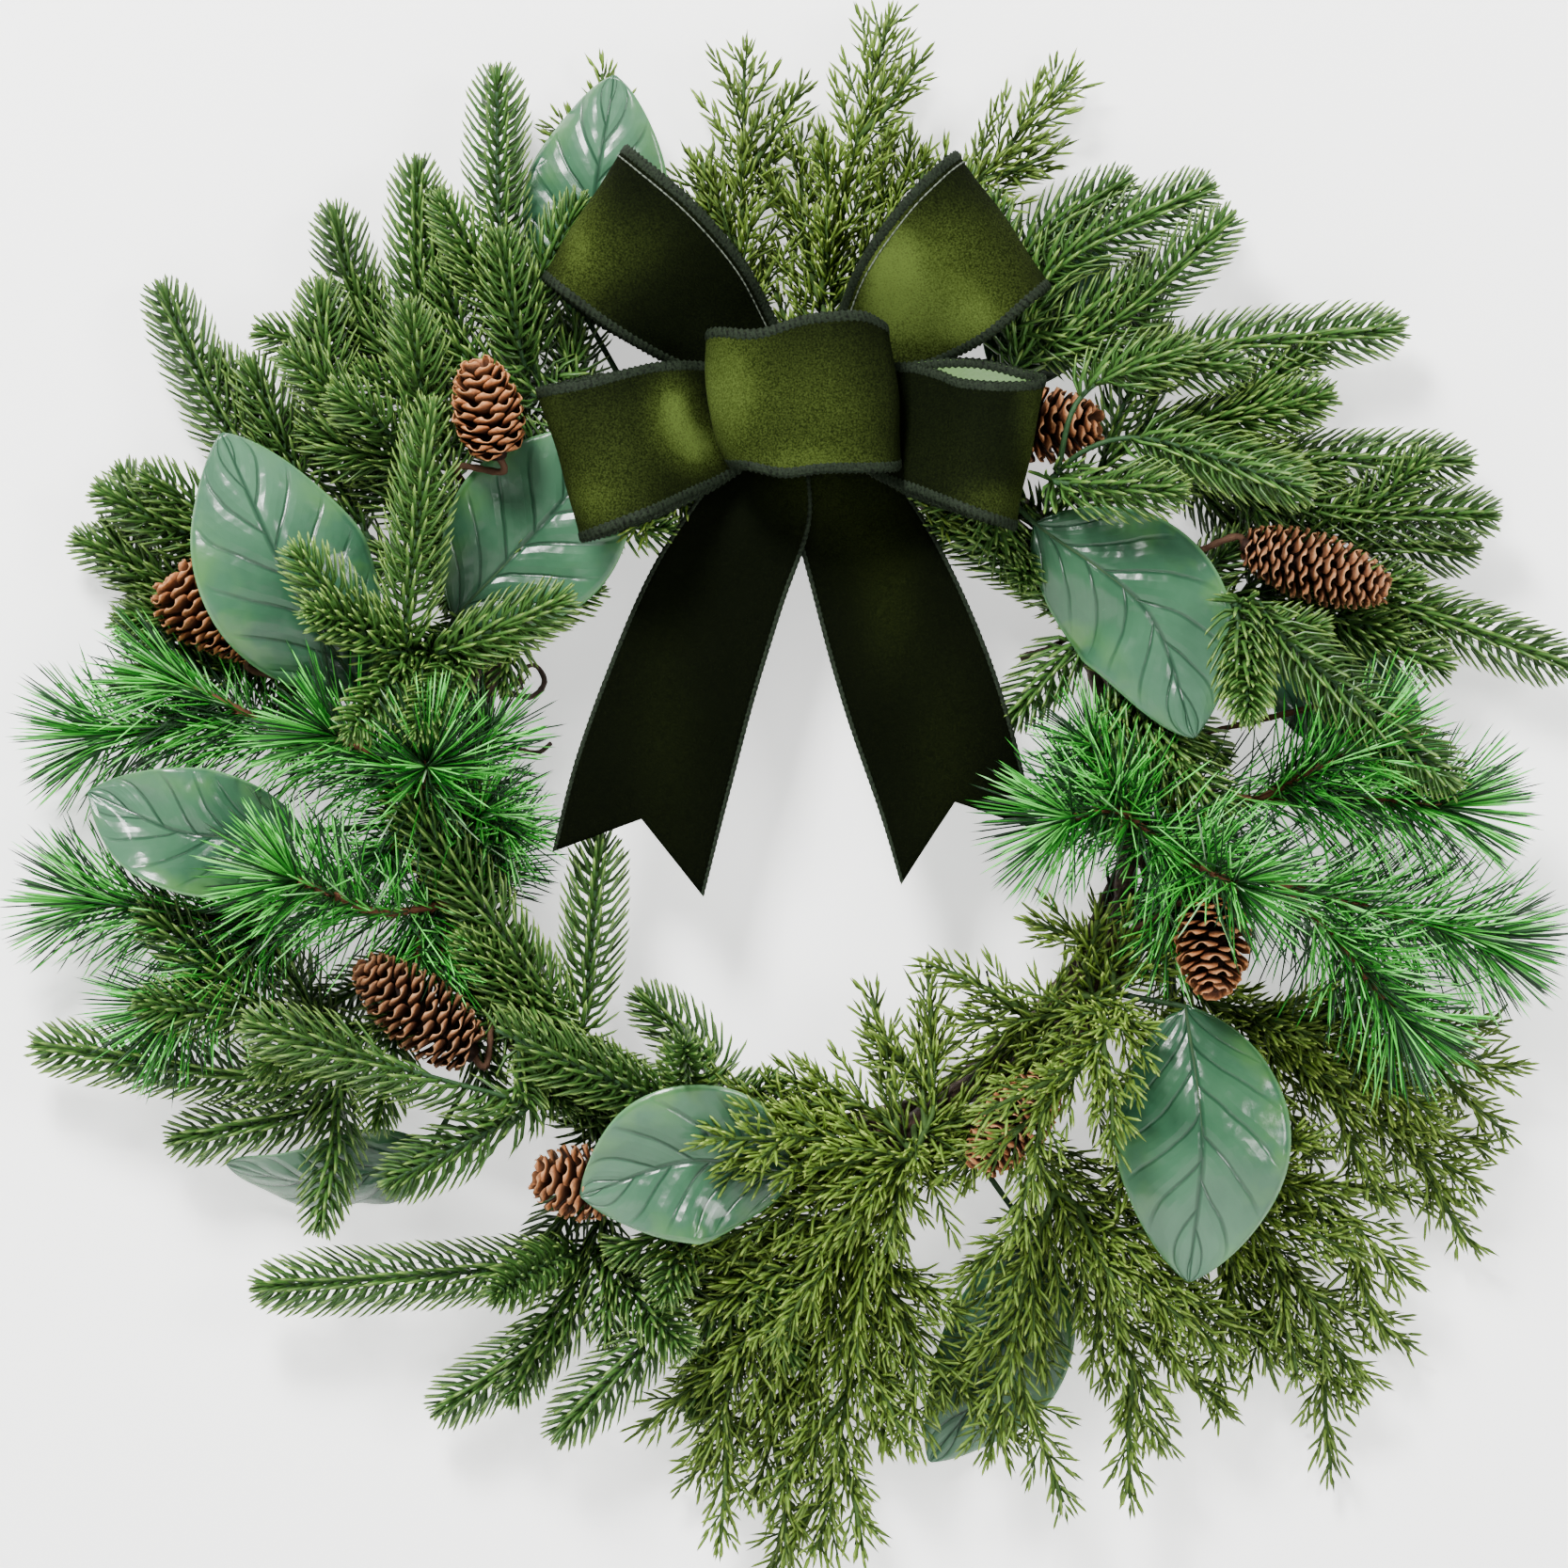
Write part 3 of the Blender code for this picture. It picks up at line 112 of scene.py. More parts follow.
# Picks: ring angle and roll of the root, the fork, then for each tip the start and end of its needled
# length. The first tip carries on the main stem.
SPRUCE = {
    "spruce_top_left": (
        (120, 55, (-106, 172, 32)),
        ((-120, 226, 32), (-122, 294, 28)),
        ((-112, 182, 42), (-119, 226, 48)),
        ((-106, 205, 38), (-88, 241, 40)),
        ((-92, 174, 26), (-89, 205, 22)),
    ),
    "spruce_top_left_tall": (
        (131, 30, (-142, 168, 24)),
        ((-153, 199, 26), (-155, 257, 22)),
        ((-172, 184, 18), (-189, 238, 14)),
    ),
    "spruce_left_high": (
        (141, 50, (-160, 138, 38)),
        ((-186, 146, 38), (-194, 207, 32)),
        ((-152, 160, 50), (-156, 196, 56)),
        ((-166, 150, 54), (-184, 163, 60)),
    ),
    "spruce_left_outer": (
        (148, 15, (-196, 118, 20)),
        ((-230, 148, 20), (-259, 207, 15)),
        ((-204, 134, 24), (-222, 176, 24)),
    ),
    "spruce_left_front": (
        (153, 80, (-152, 60, 54)),
        ((-157, 70, 66), (-146, 156, 74)),
        ((-168, 62, 72), (-199, 98, 84)),
        ((-142, 60, 58), (-95, 80, 56)),
    ),
    "spruce_far_left": (
        (158, 10, (-214, 78, 16)),
        ((-252, 100, 14), (-276, 133, 12)),
        ((-236, 112, 22), (-264, 131, 26)),
        ((-258, 82, 12), (-282, 111, 10)),
        ((-244, 66, 14), (-275, 73, 14)),
        ((-226, 52, 20), (-254, 56, 22)),
    ),
    "spruce_lower_left": (
        (202, 40, (-180, -100, 30)),
        ((-206, -114, 30), (-307, -101, 24)),
        ((-190, -124, 24), (-252, -139, 22)),
        ((-226, -76, 36), (-262, -46, 42)),
    ),
    "spruce_lower_left_front": (
        (209, 100, (-112, -118, 56)),
        ((-124, -118, 66), (-217, -91, 78)),
    ),
    "spruce_left_inner": (
        (225, 115, (-88, -99, 40)),
        ((-98, -84, 46), (-160, 3, 58)),
        ((-86, -88, 38), (-80, -19, 36)),
        ((-124, -84, 36), (-130, -58, 38)),
    ),
    "spruce_bottom_inner": (
        (251, 105, (-46, -124, 38)),
        ((-62, -119, 50), (-122, -92, 74)),
        ((-32, -112, 28), (-61, -82, 24)),
    ),
    "spruce_bottom_left": (
        (229, 70, (-112, -128, 50)),
        ((-122, -133, 58), (-162, -153, 70)),
    ),
    "spruce_bottom_left_low": (
        (243, 0, (-84, -180, 16)),
        ((-104, -190, 26), (-216, -199, 28)),
        ((-92, -212, 22), (-144, -249, 20)),
        ((-52, -206, 30), (-95, -257, 28)),
    ),
    "spruce_bottom": (
        (257, 25, (-34, -178, 32)),
        ((-26, -216, 16), (-41, -249, 13)),
        ((-42, -174, 44), (-72, -182, 48)),
    ),
    "spruce_top_right": (
        (62, 40, (92, 176, 26)),
        ((104, 216, 30), (167, 249, 24)),
        ((92, 222, 24), (134, 252, 16)),
        ((128, 192, 36), (175, 235, 36)),
        ((90, 192, 30), (124, 180, 34)),
    ),
    "spruce_right_long": (
        (48, 30, (142, 152, 22)),
        ((160, 181, 26), (243, 192, 22)),
        ((180, 156, 28), (214, 164, 34)),
        ((196, 140, 20), (271, 138, 20)),
        ((206, 120, 22), (282, 116, 26)),
    ),
    "spruce_bow_right": (
        (45, 85, (104, 130, 42)),
        ((136, 147, 54), (204, 126, 58)),
        ((118, 166, 48), (157, 182, 50)),
        ((106, 128, 60), (152, 124, 72)),
    ),
    "spruce_right_mid": (
        (28, 15, (190, 84, 16)),
        ((238, 82, 20), (312, 56, 24)),
        ((232, 102, 14), (275, 103, 14)),
        ((232, 66, 22), (263, 55, 28)),
    ),
    "spruce_right_front": (
        (24, 60, (184, 80, 50)),
        ((196, 66, 62), (263, 8, 66)),
        ((178, 76, 68), (181, 37, 76)),
    ),
    "spruce_right_inner": (
        (20, 100, (128, 58, 42)),
        ((144, 30, 42), (173, -5, 46)),
        ((118, 66, 36), (89, 35, 34)),
        ((108, 84, 34), (60, 114, 30)),
    ),
}

CEDAR = {
    "cedar_top_left": (
        (97, 20, (-24, 196, 20)),
        ((-22, 240, 22), (-21, 306, 18)),
        ((-30, 218, 16), (-42, 262, 12)),
        ((-62, 226, 12), (-97, 280, 10)),
    ),
    "cedar_top": (
        (86, 20, (14, 196, 22)),
        ((20, 244, 24), (38, 320, 20)),
        ((4, 226, 18), (2, 272, 14)),
        ((34, 228, 18), (48, 268, 14)),
        ((62, 240, 16), (113, 297, 14)),
    ),
    "cedar_right_low": (
        (337, 5, (176, -88, 20)),
        ((222, -98, 22), (294, -111, 18)),
        ((220, -122, 24), (280, -158, 20)),
        ((214, -96, 34), (258, -132, 36)),
    ),
    "cedar_lower_right": (
        (318, 5, (156, -146, 20)),
        ((192, -178, 22), (232, -243, 18)),
        ((206, -156, 26), (250, -196, 26)),
        ((176, -186, 16), (196, -236, 12)),
    ),
    "cedar_bottom_right": (
        (303, 30, (106, -160, 30)),
        ((128, -206, 32), (149, -264, 26)),
        ((92, -204, 34), (79, -268, 30)),
        ((142, -186, 40), (172, -226, 40)),
    ),
    "cedar_bottom": (
        (283, 20, (26, -178, 24)),
        ((22, -236, 24), (9, -309, 18)),
        ((4, -222, 20), (-18, -288, 16)),
        ((-8, -204, 26), (-40, -270, 22)),
        ((46, -220, 26), (48, -262, 24)),
    ),
    "cedar_bottom_front": (
        (290, 85, (46, -146, 48)),
        ((18, -138, 50), (-36, -136, 78)),
        ((10, -160, 46), (-38, -182, 50)),
        ((14, -182, 40), (-38, -206, 44)),
        ((30, -126, 40), (-6, -112, 40)),
        ((56, -120, 38), (32, -98, 34)),
    ),
    "cedar_inner_right": (
        (325, 110, (130, -84, 44)),
        ((118, -104, 72), (76, -146, 82)),
        ((104, -88, 44), (66, -92, 42)),
        ((126, -62, 40), (96, -50, 40)),
        ((146, -110, 42), (136, -158, 44)),
    ),
}

LONG_NEEDLE = {
    "pine_left_front": (
        (197, 70, (-166, -46, 56)),
        ((-178, -42, 64), (-201, -32, 78)),
    ),
    "pine_left_upper": (
        (174, 25, (-204, 22, 24)),
        ((-240, 30, 24), (-282, 26, 22)),
        ((-226, 36, 32), (-250, 48, 38)),
    ),
    "pine_left_lower": (
        (190, 25, (-206, -42, 26)),
        ((-240, -48, 26), (-284, -42, 24)),
        ((-226, -66, 32), (-252, -84, 36)),
    ),
    "pine_left_inner": (
        (177, 100, (-150, 2, 50)),
        ((-150, 6, 58), (-148, 14, 74)),
        ((-164, 14, 56), (-186, 26, 62)),
    ),
    "pine_right_upper": (
        (1, 35, (190, 0, 34)),
        ((222, 2, 40), (262, -2, 42)),
        ((206, 10, 48), (228, 20, 54)),
    ),
    "pine_right_lower": (
        (351, 40, (196, -34, 34)),
        ((232, -44, 38), (276, -56, 38)),
        ((222, -60, 48), (242, -86, 54)),
    ),
    "pine_right_inner": (
        (356, 110, (136, -8, 46)),
        ((128, -4, 52), (110, -8, 60)),
        ((154, -22, 54), (176, -34, 88)),
    ),
}

# The bow. A station of a strip is (x, z, depth), then the half width as (x, z, depth).
WAIST = (4.0, 162.0)

UPPER_LOOPS = (
    ((3, 163, 45.6), (4, 8, 0)),
    ((-14, 177, 44.9), (8, 11, 0)),
    ((-36, 197, 39), (14, 19, 1)),
    ((-62, 219, 34), (17, 26, 2)),
    ((-80, 233, 40), (17, 26.5, 2)),
    ((-86, 238, 54), (17, 26.5, 2)),
    ((-78, 231, 66), (17, 26.5, 2)),
    ((-58, 215, 68), (17, 25, 8)),
    ((-36, 197, 56), (15, 20, 9)),
    ((-18, 181, 47.8), (10, 13, 0.5)),
    ((4, 163, 47.0), (0, 9, 0)),
    ((26, 181, 47.8), (-10, 13, 0.5)),
    ((42, 197, 56), (-16, 20, 9)),
    ((60, 213, 68), (-18, 26, 8)),
    ((76, 228, 67), (-19, 27, 2)),
    ((84, 235, 54), (-19, 27, 2)),
    ((78, 230, 40), (-19, 27, 2)),
    ((60, 215, 34), (-18, 26, 2)),
    ((40, 197, 39), (-15, 19, 1)),
    ((22, 177, 44.9), (-8, 11, 0)),
    ((6, 163, 45.6), (-4, 8, 0)),
)

LOWER_LOOPS = (
    ((3, 161, 48.4), (0, 8, 0)),
    ((-16, 155, 50.1), (-3, 15, 0)),
    ((-42, 149, 50.6), (-5, 25, 0)),
    ((-70, 142, 52), (-7, 30, 0)),
    ((-88, 137, 58), (-8, 31, -1)),
    ((-95, 135, 70), (-8, 31, -2)),
    ((-88, 137, 82), (-8, 31, -3)),
    ((-68, 143, 84), (-7, 30, -4)),
    ((-48, 149, 70), (-5, 27, -2)),
    ((-28, 154, 54.5), (-4, 22, 0)),
    ((4, 162, 49.8), (0, 9, 0)),
    ((32, 154, 54.0), (2, 22, 0)),
    ((52, 149, 70), (2, 26, -3)),
    ((70, 145, 84), (4, 29, -5)),
    ((86, 141, 82), (6, 30, -5)),
    ((94, 140, 70), (6, 31, -2)),
    ((88, 142, 58), (5, 31, 0)),
    ((70, 147, 52), (3, 31, 0)),
    ((46, 151, 50.6), (3, 26, 0)),
    ((22, 156, 49.2), (2, 15, 0)),
    ((5, 161, 48.4), (0, 8, 0)),
)

TAILS = (
    ((-68, -30, 47), (30, -9, -2)),
    ((-59, 6, 46), (30, -9, -1)),
    ((-46, 48, 46), (28, -9, 1)),
    ((-32, 86, 46), (25, -9, 0)),
    ((-18, 118, 45.5), (18.5, -8, 0)),
    ((-7, 146, 44.6), (9, -7, 0)),
    ((4, 158, 44.2), (0, -8, 0)),
    ((15, 146, 43.6), (-9, -7, 0)),
    ((26, 118, 42.0), (-18.5, -7, 0)),
    ((36, 86, 42), (-26, -9, 0)),
    ((49, 48, 43), (-29, -10, 1)),
    ((62, 8, 43), (-28, -11, 4)),
    ((70, -23, 45), (-27, -11, 8)),
)

CENTRE_LOOP_WIDE = 39.0
CENTRE_LOOP_DEEP = 18.0
CENTRE_LOOP_BACK = 52.5
CENTRE_LOOP_GAP = math.radians(1)

# The paths of side twigs and shoots, and the curves through the control points.
CURVE_STEPS = 12
WEAK_SIDE = 0.35


def place(x, z, depth):
    """A place in the tables as a point: x to the right, y away from the viewer and z up."""
    return np.array((x, -depth, z), float)


def unit(vector):
    return vector / max(np.linalg.norm(vector), 1e-9)


def unit_rows(vectors):
    return vectors / np.maximum(np.linalg.norm(vectors, axis=-1, keepdims=True), 1e-9)


def distances_along(path):
    """The distance travelled from the start of a path to each of its points."""
    return np.concatenate(([0], np.cumsum(np.linalg.norm(np.diff(path, axis=0), axis=1))))


def read_at(wanted, known, table):
    """The columns of a table at the wanted values, from the known value of each row."""
    return np.stack([np.interp(wanted, known, column) for column in table.T], axis=-1)


def smooth_path(points, spacing=None, count=None):
    """A Catmull-Rom curve through the points, read at even steps."""
    points = np.asarray(points, float)
    padded = np.vstack((2 * points[0] - points[1], points, 2 * points[-1] - points[-2]))
    dense = []
    for a, b, c, d in zip(padded, padded[1:], padded[2:], padded[3:]):
        for t in np.linspace(0, 1, CURVE_STEPS, endpoint=False):
            bend = (2 * a - 5 * b + 4 * c - d) * t**2 + (3 * b - a - 3 * c + d) * t**3
            dense.append(0.5 * (2 * b + (c - a) * t + bend))
    dense.append(points[-1])
    dense = np.array(dense)
    travelled = distances_along(dense[:, :3])
    if count is None:
        count = max(2, round(travelled[-1] / spacing)) + 1
    return read_at(np.linspace(0, travelled[-1], count), travelled, dense)


def frames_along(path, facing=TO_VIEWER):
    """Tangent, side and front directions at each point of a path. The side lies across the facing."""
    tangent = unit_rows(np.gradient(path, axis=0))
    side = np.cross(tangent, facing)
    weak = np.linalg.norm(side, axis=1) < WEAK_SIDE
    side[weak] = np.cross(tangent[weak], (0.0, 0.0, 1.0))
    for i in range(1, len(side)):
        if np.dot(side[i], side[i - 1]) < 0:
            side[i] = -side[i]
    side = unit_rows(side)
    return tangent, side, np.cross(side, tangent)


def ring_point(theta, phi, extra=0.0):
    """A point of the ring's lobed surface at ring angle theta and roll phi, in radians."""
    lobe = math.cos(VINE_LOBES * phi - VINE_TWISTS * theta + VINE_PHASE)
    radius = VINE_RADIUS + VINE_LOBE * lobe + extra
    out = RING_RADIUS + radius * math.cos(phi)
    return place(out * math.cos(theta), out * math.sin(theta), RING_DEPTH + radius * math.sin(phi))


def ring_surface():
    """The points and triangles of the ring's surface."""
    points = []
    faces = []
    for i in range(RING_STEPS):
        for k in range(RING_SIDES):
            points.append(ring_point(2 * math.pi * i / RING_STEPS, 2 * math.pi * k / RING_SIDES))
            after = (i + 1) % RING_STEPS * RING_SIDES
            a, b = (i * RING_SIDES + m % RING_SIDES for m in (k, k + 1))
            c, d = (after + m % RING_SIDES for m in (k, k + 1))
            faces += [(a, b, d), (a, d, c)]
    return [Vector(point) for point in points], faces


RING_TREE = BVHTree.FromPolygons(*ring_surface())


def seat(angle, roll, gap):
    """The point that stands off the ring's surface by the gap, and the way straight out from there."""
    theta = math.radians(angle)
    phi = math.radians(roll)
    middle = place(RING_RADIUS * math.cos(theta), RING_RADIUS * math.sin(theta), RING_DEPTH)
    out = unit(ring_point(theta, phi, 20.0) - middle)
    hit, normal, _, _ = RING_TREE.ray_cast(Vector(middle + out * 40.0), Vector(-out))
    normal = np.array(normal)
    normal = normal if np.dot(normal, out) > 0 else -normal
    return np.array(hit) + normal * gap, normal


def leaf_grid(spec, rows, columns, petiole_rows):
    """The leaf's middle surface, petiole first."""
    angle, roll, start, middle, tip, width, turn, cup = spec
    start, middle, tip = (place(*point) for point in (start, middle, tip))
    root, normal = seat(angle, roll, SEAT_GAP + PETIOLE_THICK * 0.15)
    petiole = smooth_path((root, root + normal * 9.0, start), count=petiole_rows + 1)[:-1]
    blade = smooth_path((start, middle, tip), count=rows)
    path = np.vstack((petiole, blade))
    _, side, front = frames_along(path)
    share = np.concatenate((np.zeros(petiole_rows), np.linspace(0, 1, rows)))
    half = width / 2 * np.sin(math.pi * np.clip(share, 0, 1) ** 0.92) ** 0.72
    half = np.maximum(half, PETIOLE_WIDTH / 2)
    half[-1] = 0.9
    half[0] = 1.0
    swing = np.radians(turn) * np.clip(share * 2.5, 0, 1)
    across = side * np.cos(swing)[:, None] + front * np.sin(swing)[:, None]
    up = front * np.cos(swing)[:, None] - side * np.sin(swing)[:, None]
    grid = np.empty((len(path), columns, 3))
    for j, v in enumerate(np.linspace(-1, 1, columns)):
        fall = -cup * np.abs(v) ** 1.3 * np.sin(math.pi * share)
        wave = 0.03 * width * np.abs(v) ** 2 * np.sin(share * 7.0 + 1.5 * v) * np.sin(math.pi * share)
        grid[:, j] = path + across * (half * v)[:, None] + up * (fall + wave)[:, None]
    return grid


def twig_route(spec):
    """The places that a cone's twig runs through, from inside the cone's foot to the ring."""
    angle, roll, base, tip, _, _, via = spec
    base, tip = place(*base), place(*tip)
    axis = unit(tip - base)
    root, normal = seat(angle, roll, SEAT_GAP)
    bend = [place(*via)] if via else []
    return [base + axis * 2.0, base - axis * 6.0, *bend, root + normal * 8.0, root]


def strip_grid(stations, rows, columns):
    """A strip of ribbon through its stations, as a grid of points."""
    table = np.array([[*place(*centre), *place(*half)] for centre, half in stations])
    path = smooth_path(table, count=rows)
    spread = np.linspace(-1, 1, columns)[None, :, None]
    return path[:, None, :3] + path[:, None, 3:] * spread


def centre_loop_grid(rows, columns):
    """An oval band with its axis upright, open at its top and bottom, with its ends at the back."""
    turns = np.linspace(CENTRE_LOOP_GAP, 2 * math.pi - CENTRE_LOOP_GAP, rows)
    grid = np.empty((rows, columns, 3))
    for i, turn in enumerate(turns):
        x = WAIST[0] - 1 + CENTRE_LOOP_WIDE * math.sin(turn)
        depth = CENTRE_LOOP_BACK + CENTRE_LOOP_DEEP * (1 - math.cos(turn))
        front = (1 - math.cos(turn)) / 2
        for j, v in enumerate(np.linspace(-1, 1, columns)):
            half = 24.0 + 7.5 * front
            z = WAIST[1] - 1.5 * front + v * half - 2.5 * front * math.cos(turn) * v**2
            grid[i, j] = place(x, z, depth)
    return grid


def solid_points():
    """Points over the leaves, cones and ribbons, with the reach that limbs keep from each."""
    found = []

    def add(points, reach):
        found.append(np.column_stack((points, np.full(len(points), reach))))

    for spec in LEAVES.values():
        grid = leaf_grid(spec, 15, 9, 6)
        add(smooth_path(grid[:7, 4], spacing=4.0), 3.0)
        add(grid[6:].reshape(-1, 3), 2.6)
    for spec in CONES.values():
        base, tip, widest = place(*spec[2]), place(*spec[3]), spec[4]
        for t in np.linspace(0.05, 0.95, 7):
            add([base + (tip - base) * t], widest + 1.5)
        add(smooth_path(twig_route(spec), spacing=5.0), 2.4)
    for stations, rows in ((UPPER_LOOPS, 56), (LOWER_LOOPS, 56), (TAILS, 36)):
        add(strip_grid(stations, rows, 9).reshape(-1, 3), 2.6)
    return np.vstack(found)


def limbs_of_pick(spec):
    """Control polylines of a pick: the main limb from the ring to its first tip, then the side limbs."""
    (angle, roll, fork), *tips = spec
    root, normal = seat(angle, roll, SEAT_GAP)
    fork = place(*fork)
    start, end = (place(*point) for point in tips[0])
    main = smooth_path((root, root + normal * LIMB_SPACING, fork, start, end), spacing=LIMB_SPACING)
    nearest = int(np.argmin(np.linalg.norm(main - fork, axis=1)))
    limbs = [(main, None)]
    for start, end in tips[1:]:
        side = smooth_path((main[nearest], place(*start), place(*end)), spacing=LIMB_SPACING)
        limbs.append((side, nearest))
    return limbs


def relaxed_limbs(picks):
    """Bends the limbs of all picks clear of each other, of the ring and of the solid pieces."""
    points = []
    reach = []
    group = []
    held = []
    chains = {}
    for number, (name, (kind, spec)) in enumerate(picks.items()):
        wide = LIMB_REACH[kind]
        chains[name] = []
        for path, parent in limbs_of_pick(spec):
            chain = []
            if parent is not None:
                chain.append(chains[name][0][parent])
                path = path[1:]
            for i, point in enumerate(path):
                chain.append(len(points))
                points.append(point)
                early = parent is None and i < ROOT_POINTS
                reach.append(ROOT_REACH + (wide - ROOT_REACH) * i / ROOT_POINTS if early else wide)
                group.append(number)
                held.append(parent is None and i < 2)
            chains[name].append(chain)
    points = np.array(points)
    reach = np.array(reach)
    group = np.array(group)
    held = np.array(held)
    goal = points.copy()
    runs = [chain for limbs in chains.values() for chain in limbs]
    links = np.array([pair for run in runs for pair in zip(run, run[1:])])
    bends = np.array([trio for run in runs for trio in zip(run, run[1:], run[2:])])
    rest = np.linalg.norm(points[links[:, 0]] - points[links[:, 1]], axis=1)
    curve = goal[bends[:, 0]] + goal[bends[:, 2]] - 2 * goal[bends[:, 1]]
    solids = solid_points()
    apart = group[:, None] != group[None]
    loose = ~held
    prefer = np.array((0.55, 1.0, 0.55))
    for turn in range(ROUNDS):
        push = np.zeros_like(points)
        delta = points[:, None] - points[None]
        distance = np.linalg.norm(delta, axis=2) + 1e-6
        need = reach[:, None] + reach[None]
        lack = np.where(apart & (distance < need), need - distance, 0.0)
        push += 0.5 * np.einsum("ij,ijk->ik", lack / distance, delta)
        if turn % 3 == 0:
            delta = points[:, None] - solids[None, :, :3]
            distance = np.linalg.norm(delta, axis=2) + 1e-6
            lack = np.maximum(reach[:, None] * 0.8 + solids[None, :, 3] - distance, 0.0)
            most = lack.argmax(axis=1)
            row = np.arange(len(points))
            push += (lack[row, most] / distance[row, most])[:, None] * delta[row, most] * 1.6
        flat = np.hypot(points[:, 0], points[:, 2])
        off = 1 - RING_RADIUS / flat
        from_core = np.column_stack((points[:, 0] * off, points[:, 1] + RING_DEPTH, points[:, 2] * off))
        distance = np.linalg.norm(from_core, axis=1)
        lack = np.maximum(VINE_RADIUS + VINE_LOBE + RING_REACH - distance, 0.0)
        push += (lack / distance)[:, None] * from_core
        points += np.where(loose[:, None], push * prefer, 0.0)
        pull = np.zeros_like(points)
        bent = points[bends[:, 0]] + points[bends[:, 2]] - 2 * points[bends[:, 1]] - curve
        np.add.at(pull, bends[:, 1], bent * 0.22)
        points += np.where(loose[:, None], pull + (goal - points) * 0.02, 0.0)
        for _ in range(2):
            span = points[links[:, 1]] - points[links[:, 0]]
            length = np.linalg.norm(span, axis=1)
            fix = (span * ((length - rest) / length)[:, None]) * 0.4
            move = np.zeros_like(points)
            np.add.at(move, links[:, 0], fix)
            np.add.at(move, links[:, 1], -fix)
            points += np.where(loose[:, None], move, 0.0)
        points[:, 1] = np.minimum(points[:, 1], -LEAST_DEPTH)
    return {name: [points[chain] for chain in limbs] for name, limbs in chains.items()}


# Pieces are gathered as arrays in millimetres from the ring's centre, and made as meshes in metres.


class Bag:
    """The points, faces and per-point values of one piece. The tone runs from 0 at the root of a small repeat
    to 1 at its tip, and the chance is one random number for each repeat. On needles the chance also carries
    painted shade, and on velvet the tone carries the painted highlight."""

    def __init__(self):
        self.points = []
        self.tone = []
        self.chance = []
        self.faces = []
        self.kinds = []
        self.count = 0

    def add(self, points, faces, tone=0.0, chance=0.5, kind=0):
        """Adds points and blocks of faces. The kind is a material's number, for all blocks or for each."""
        points = np.asarray(points, float)
        self.points.append(points)
        for kept, values in ((self.tone, tone), (self.chance, chance)):
            kept.append(np.broadcast_to(np.asarray(values, float), (len(points),)))
        faces = faces if isinstance(faces, list) else [faces]
        for block, number in zip(faces, np.broadcast_to(kind, (len(faces),))):
            self.faces.append(np.asarray(block, int) + self.count)
            self.kinds.append(np.full(len(block), number))
        self.count += len(points)

    def add_plate(self, middle, normal, half, tone, chance, kinds=0):
        """Adds a thin plate about a middle surface: its upper side, its under side and its edge."""
        rows, columns = middle.shape[:2]
        size = rows * columns
        points = np.concatenate((middle + normal * half, middle - normal * half)).reshape(-1, 3)
        upper = grid_faces(rows, columns)
        number = np.arange(size).reshape(rows, columns)
        rim = np.concatenate((number[0], number[1:, -1], number[-1, -2::-1], number[-2:0:-1, 0]))
        after = np.roll(rim, -1)
        edge = np.stack((rim, rim + size, after + size, after), axis=1)
        a, b, c = upper[(rows // 2) * (columns - 1) + columns // 2][:3]
        if np.cross(points[b] - points[a], points[c] - points[a]) @ normal.reshape(-1, 3)[a] < 0:
            upper = upper[:, ::-1]
            edge = edge[:, ::-1]
        values = [np.tile(np.broadcast_to(value, (rows, columns)).ravel(), 2) for value in (tone, chance)]
        self.add(points, [upper, upper[:, ::-1] + size, edge], *values, kinds)

    def add_tube(self, path, radius, sides, tone, chance, kind):
        """Adds a round tube with closed ends along a path."""
        path = np.asarray(path, float)
        radius = np.broadcast_to(np.asarray(radius, float), (len(path),))
        _, side, front = frames_along(path)
        turns = np.arange(sides) * 2 * math.pi / sides
        around = np.cos(turns)[None, :, None] * side[:, None] + np.sin(turns)[None, :, None] * front[:, None]
        points = (path[:, None] + radius[:, None, None] * around).reshape(-1, 3)
        points = np.vstack((points, path[:1], path[-1:]))
        k = np.arange(sides)
        last = (len(path) - 1) * sides
        foot = np.stack((np.full(sides, len(points) - 2), (k + 1) % sides, k), axis=1)
        head = np.stack((np.full(sides, len(points) - 1), last + k, last + (k + 1) % sides), axis=1)
        self.add(points, [grid_faces(len(path), sides, closed=True), foot, head], tone, chance, kind)

    def add_stem(self, limb, girths, sides, tone=0.0, chance=0.5):
        """Adds the stem of a limb, between the girths at its two ends."""
        girth = np.interp(limb.travelled, (0, limb.length), girths)
        self.add_tube(limb.path[::3], girth[::3], sides, tone, chance, 0)


def mesh_of(name, bag):
    mesh = bpy.data.meshes.new(name)
    points = (np.vstack(bag.points) - HOOK) * MM
    corners = np.concatenate([block.ravel() for block in bag.faces])
    sizes = np.concatenate([np.full(len(block), block.shape[1]) for block in bag.faces])
    mesh.vertices.add(len(points))
    mesh.vertices.foreach_set("co", points.ravel())
    mesh.loops.add(len(corners))
    mesh.loops.foreach_set("vertex_index", corners)
    mesh.polygons.add(len(sizes))
    mesh.polygons.foreach_set("loop_start", np.concatenate(([0], np.cumsum(sizes)[:-1])))
    mesh.polygons.foreach_set("material_index", np.concatenate(bag.kinds))
    mesh.update(calc_edges=True)
    for label, values in (("tone", bag.tone), ("chance", bag.chance)):
        layer = mesh.attributes.new(label, "FLOAT", "POINT")
        layer.data.foreach_set("value", np.concatenate(values))
    mesh.shade_smooth()
    return mesh


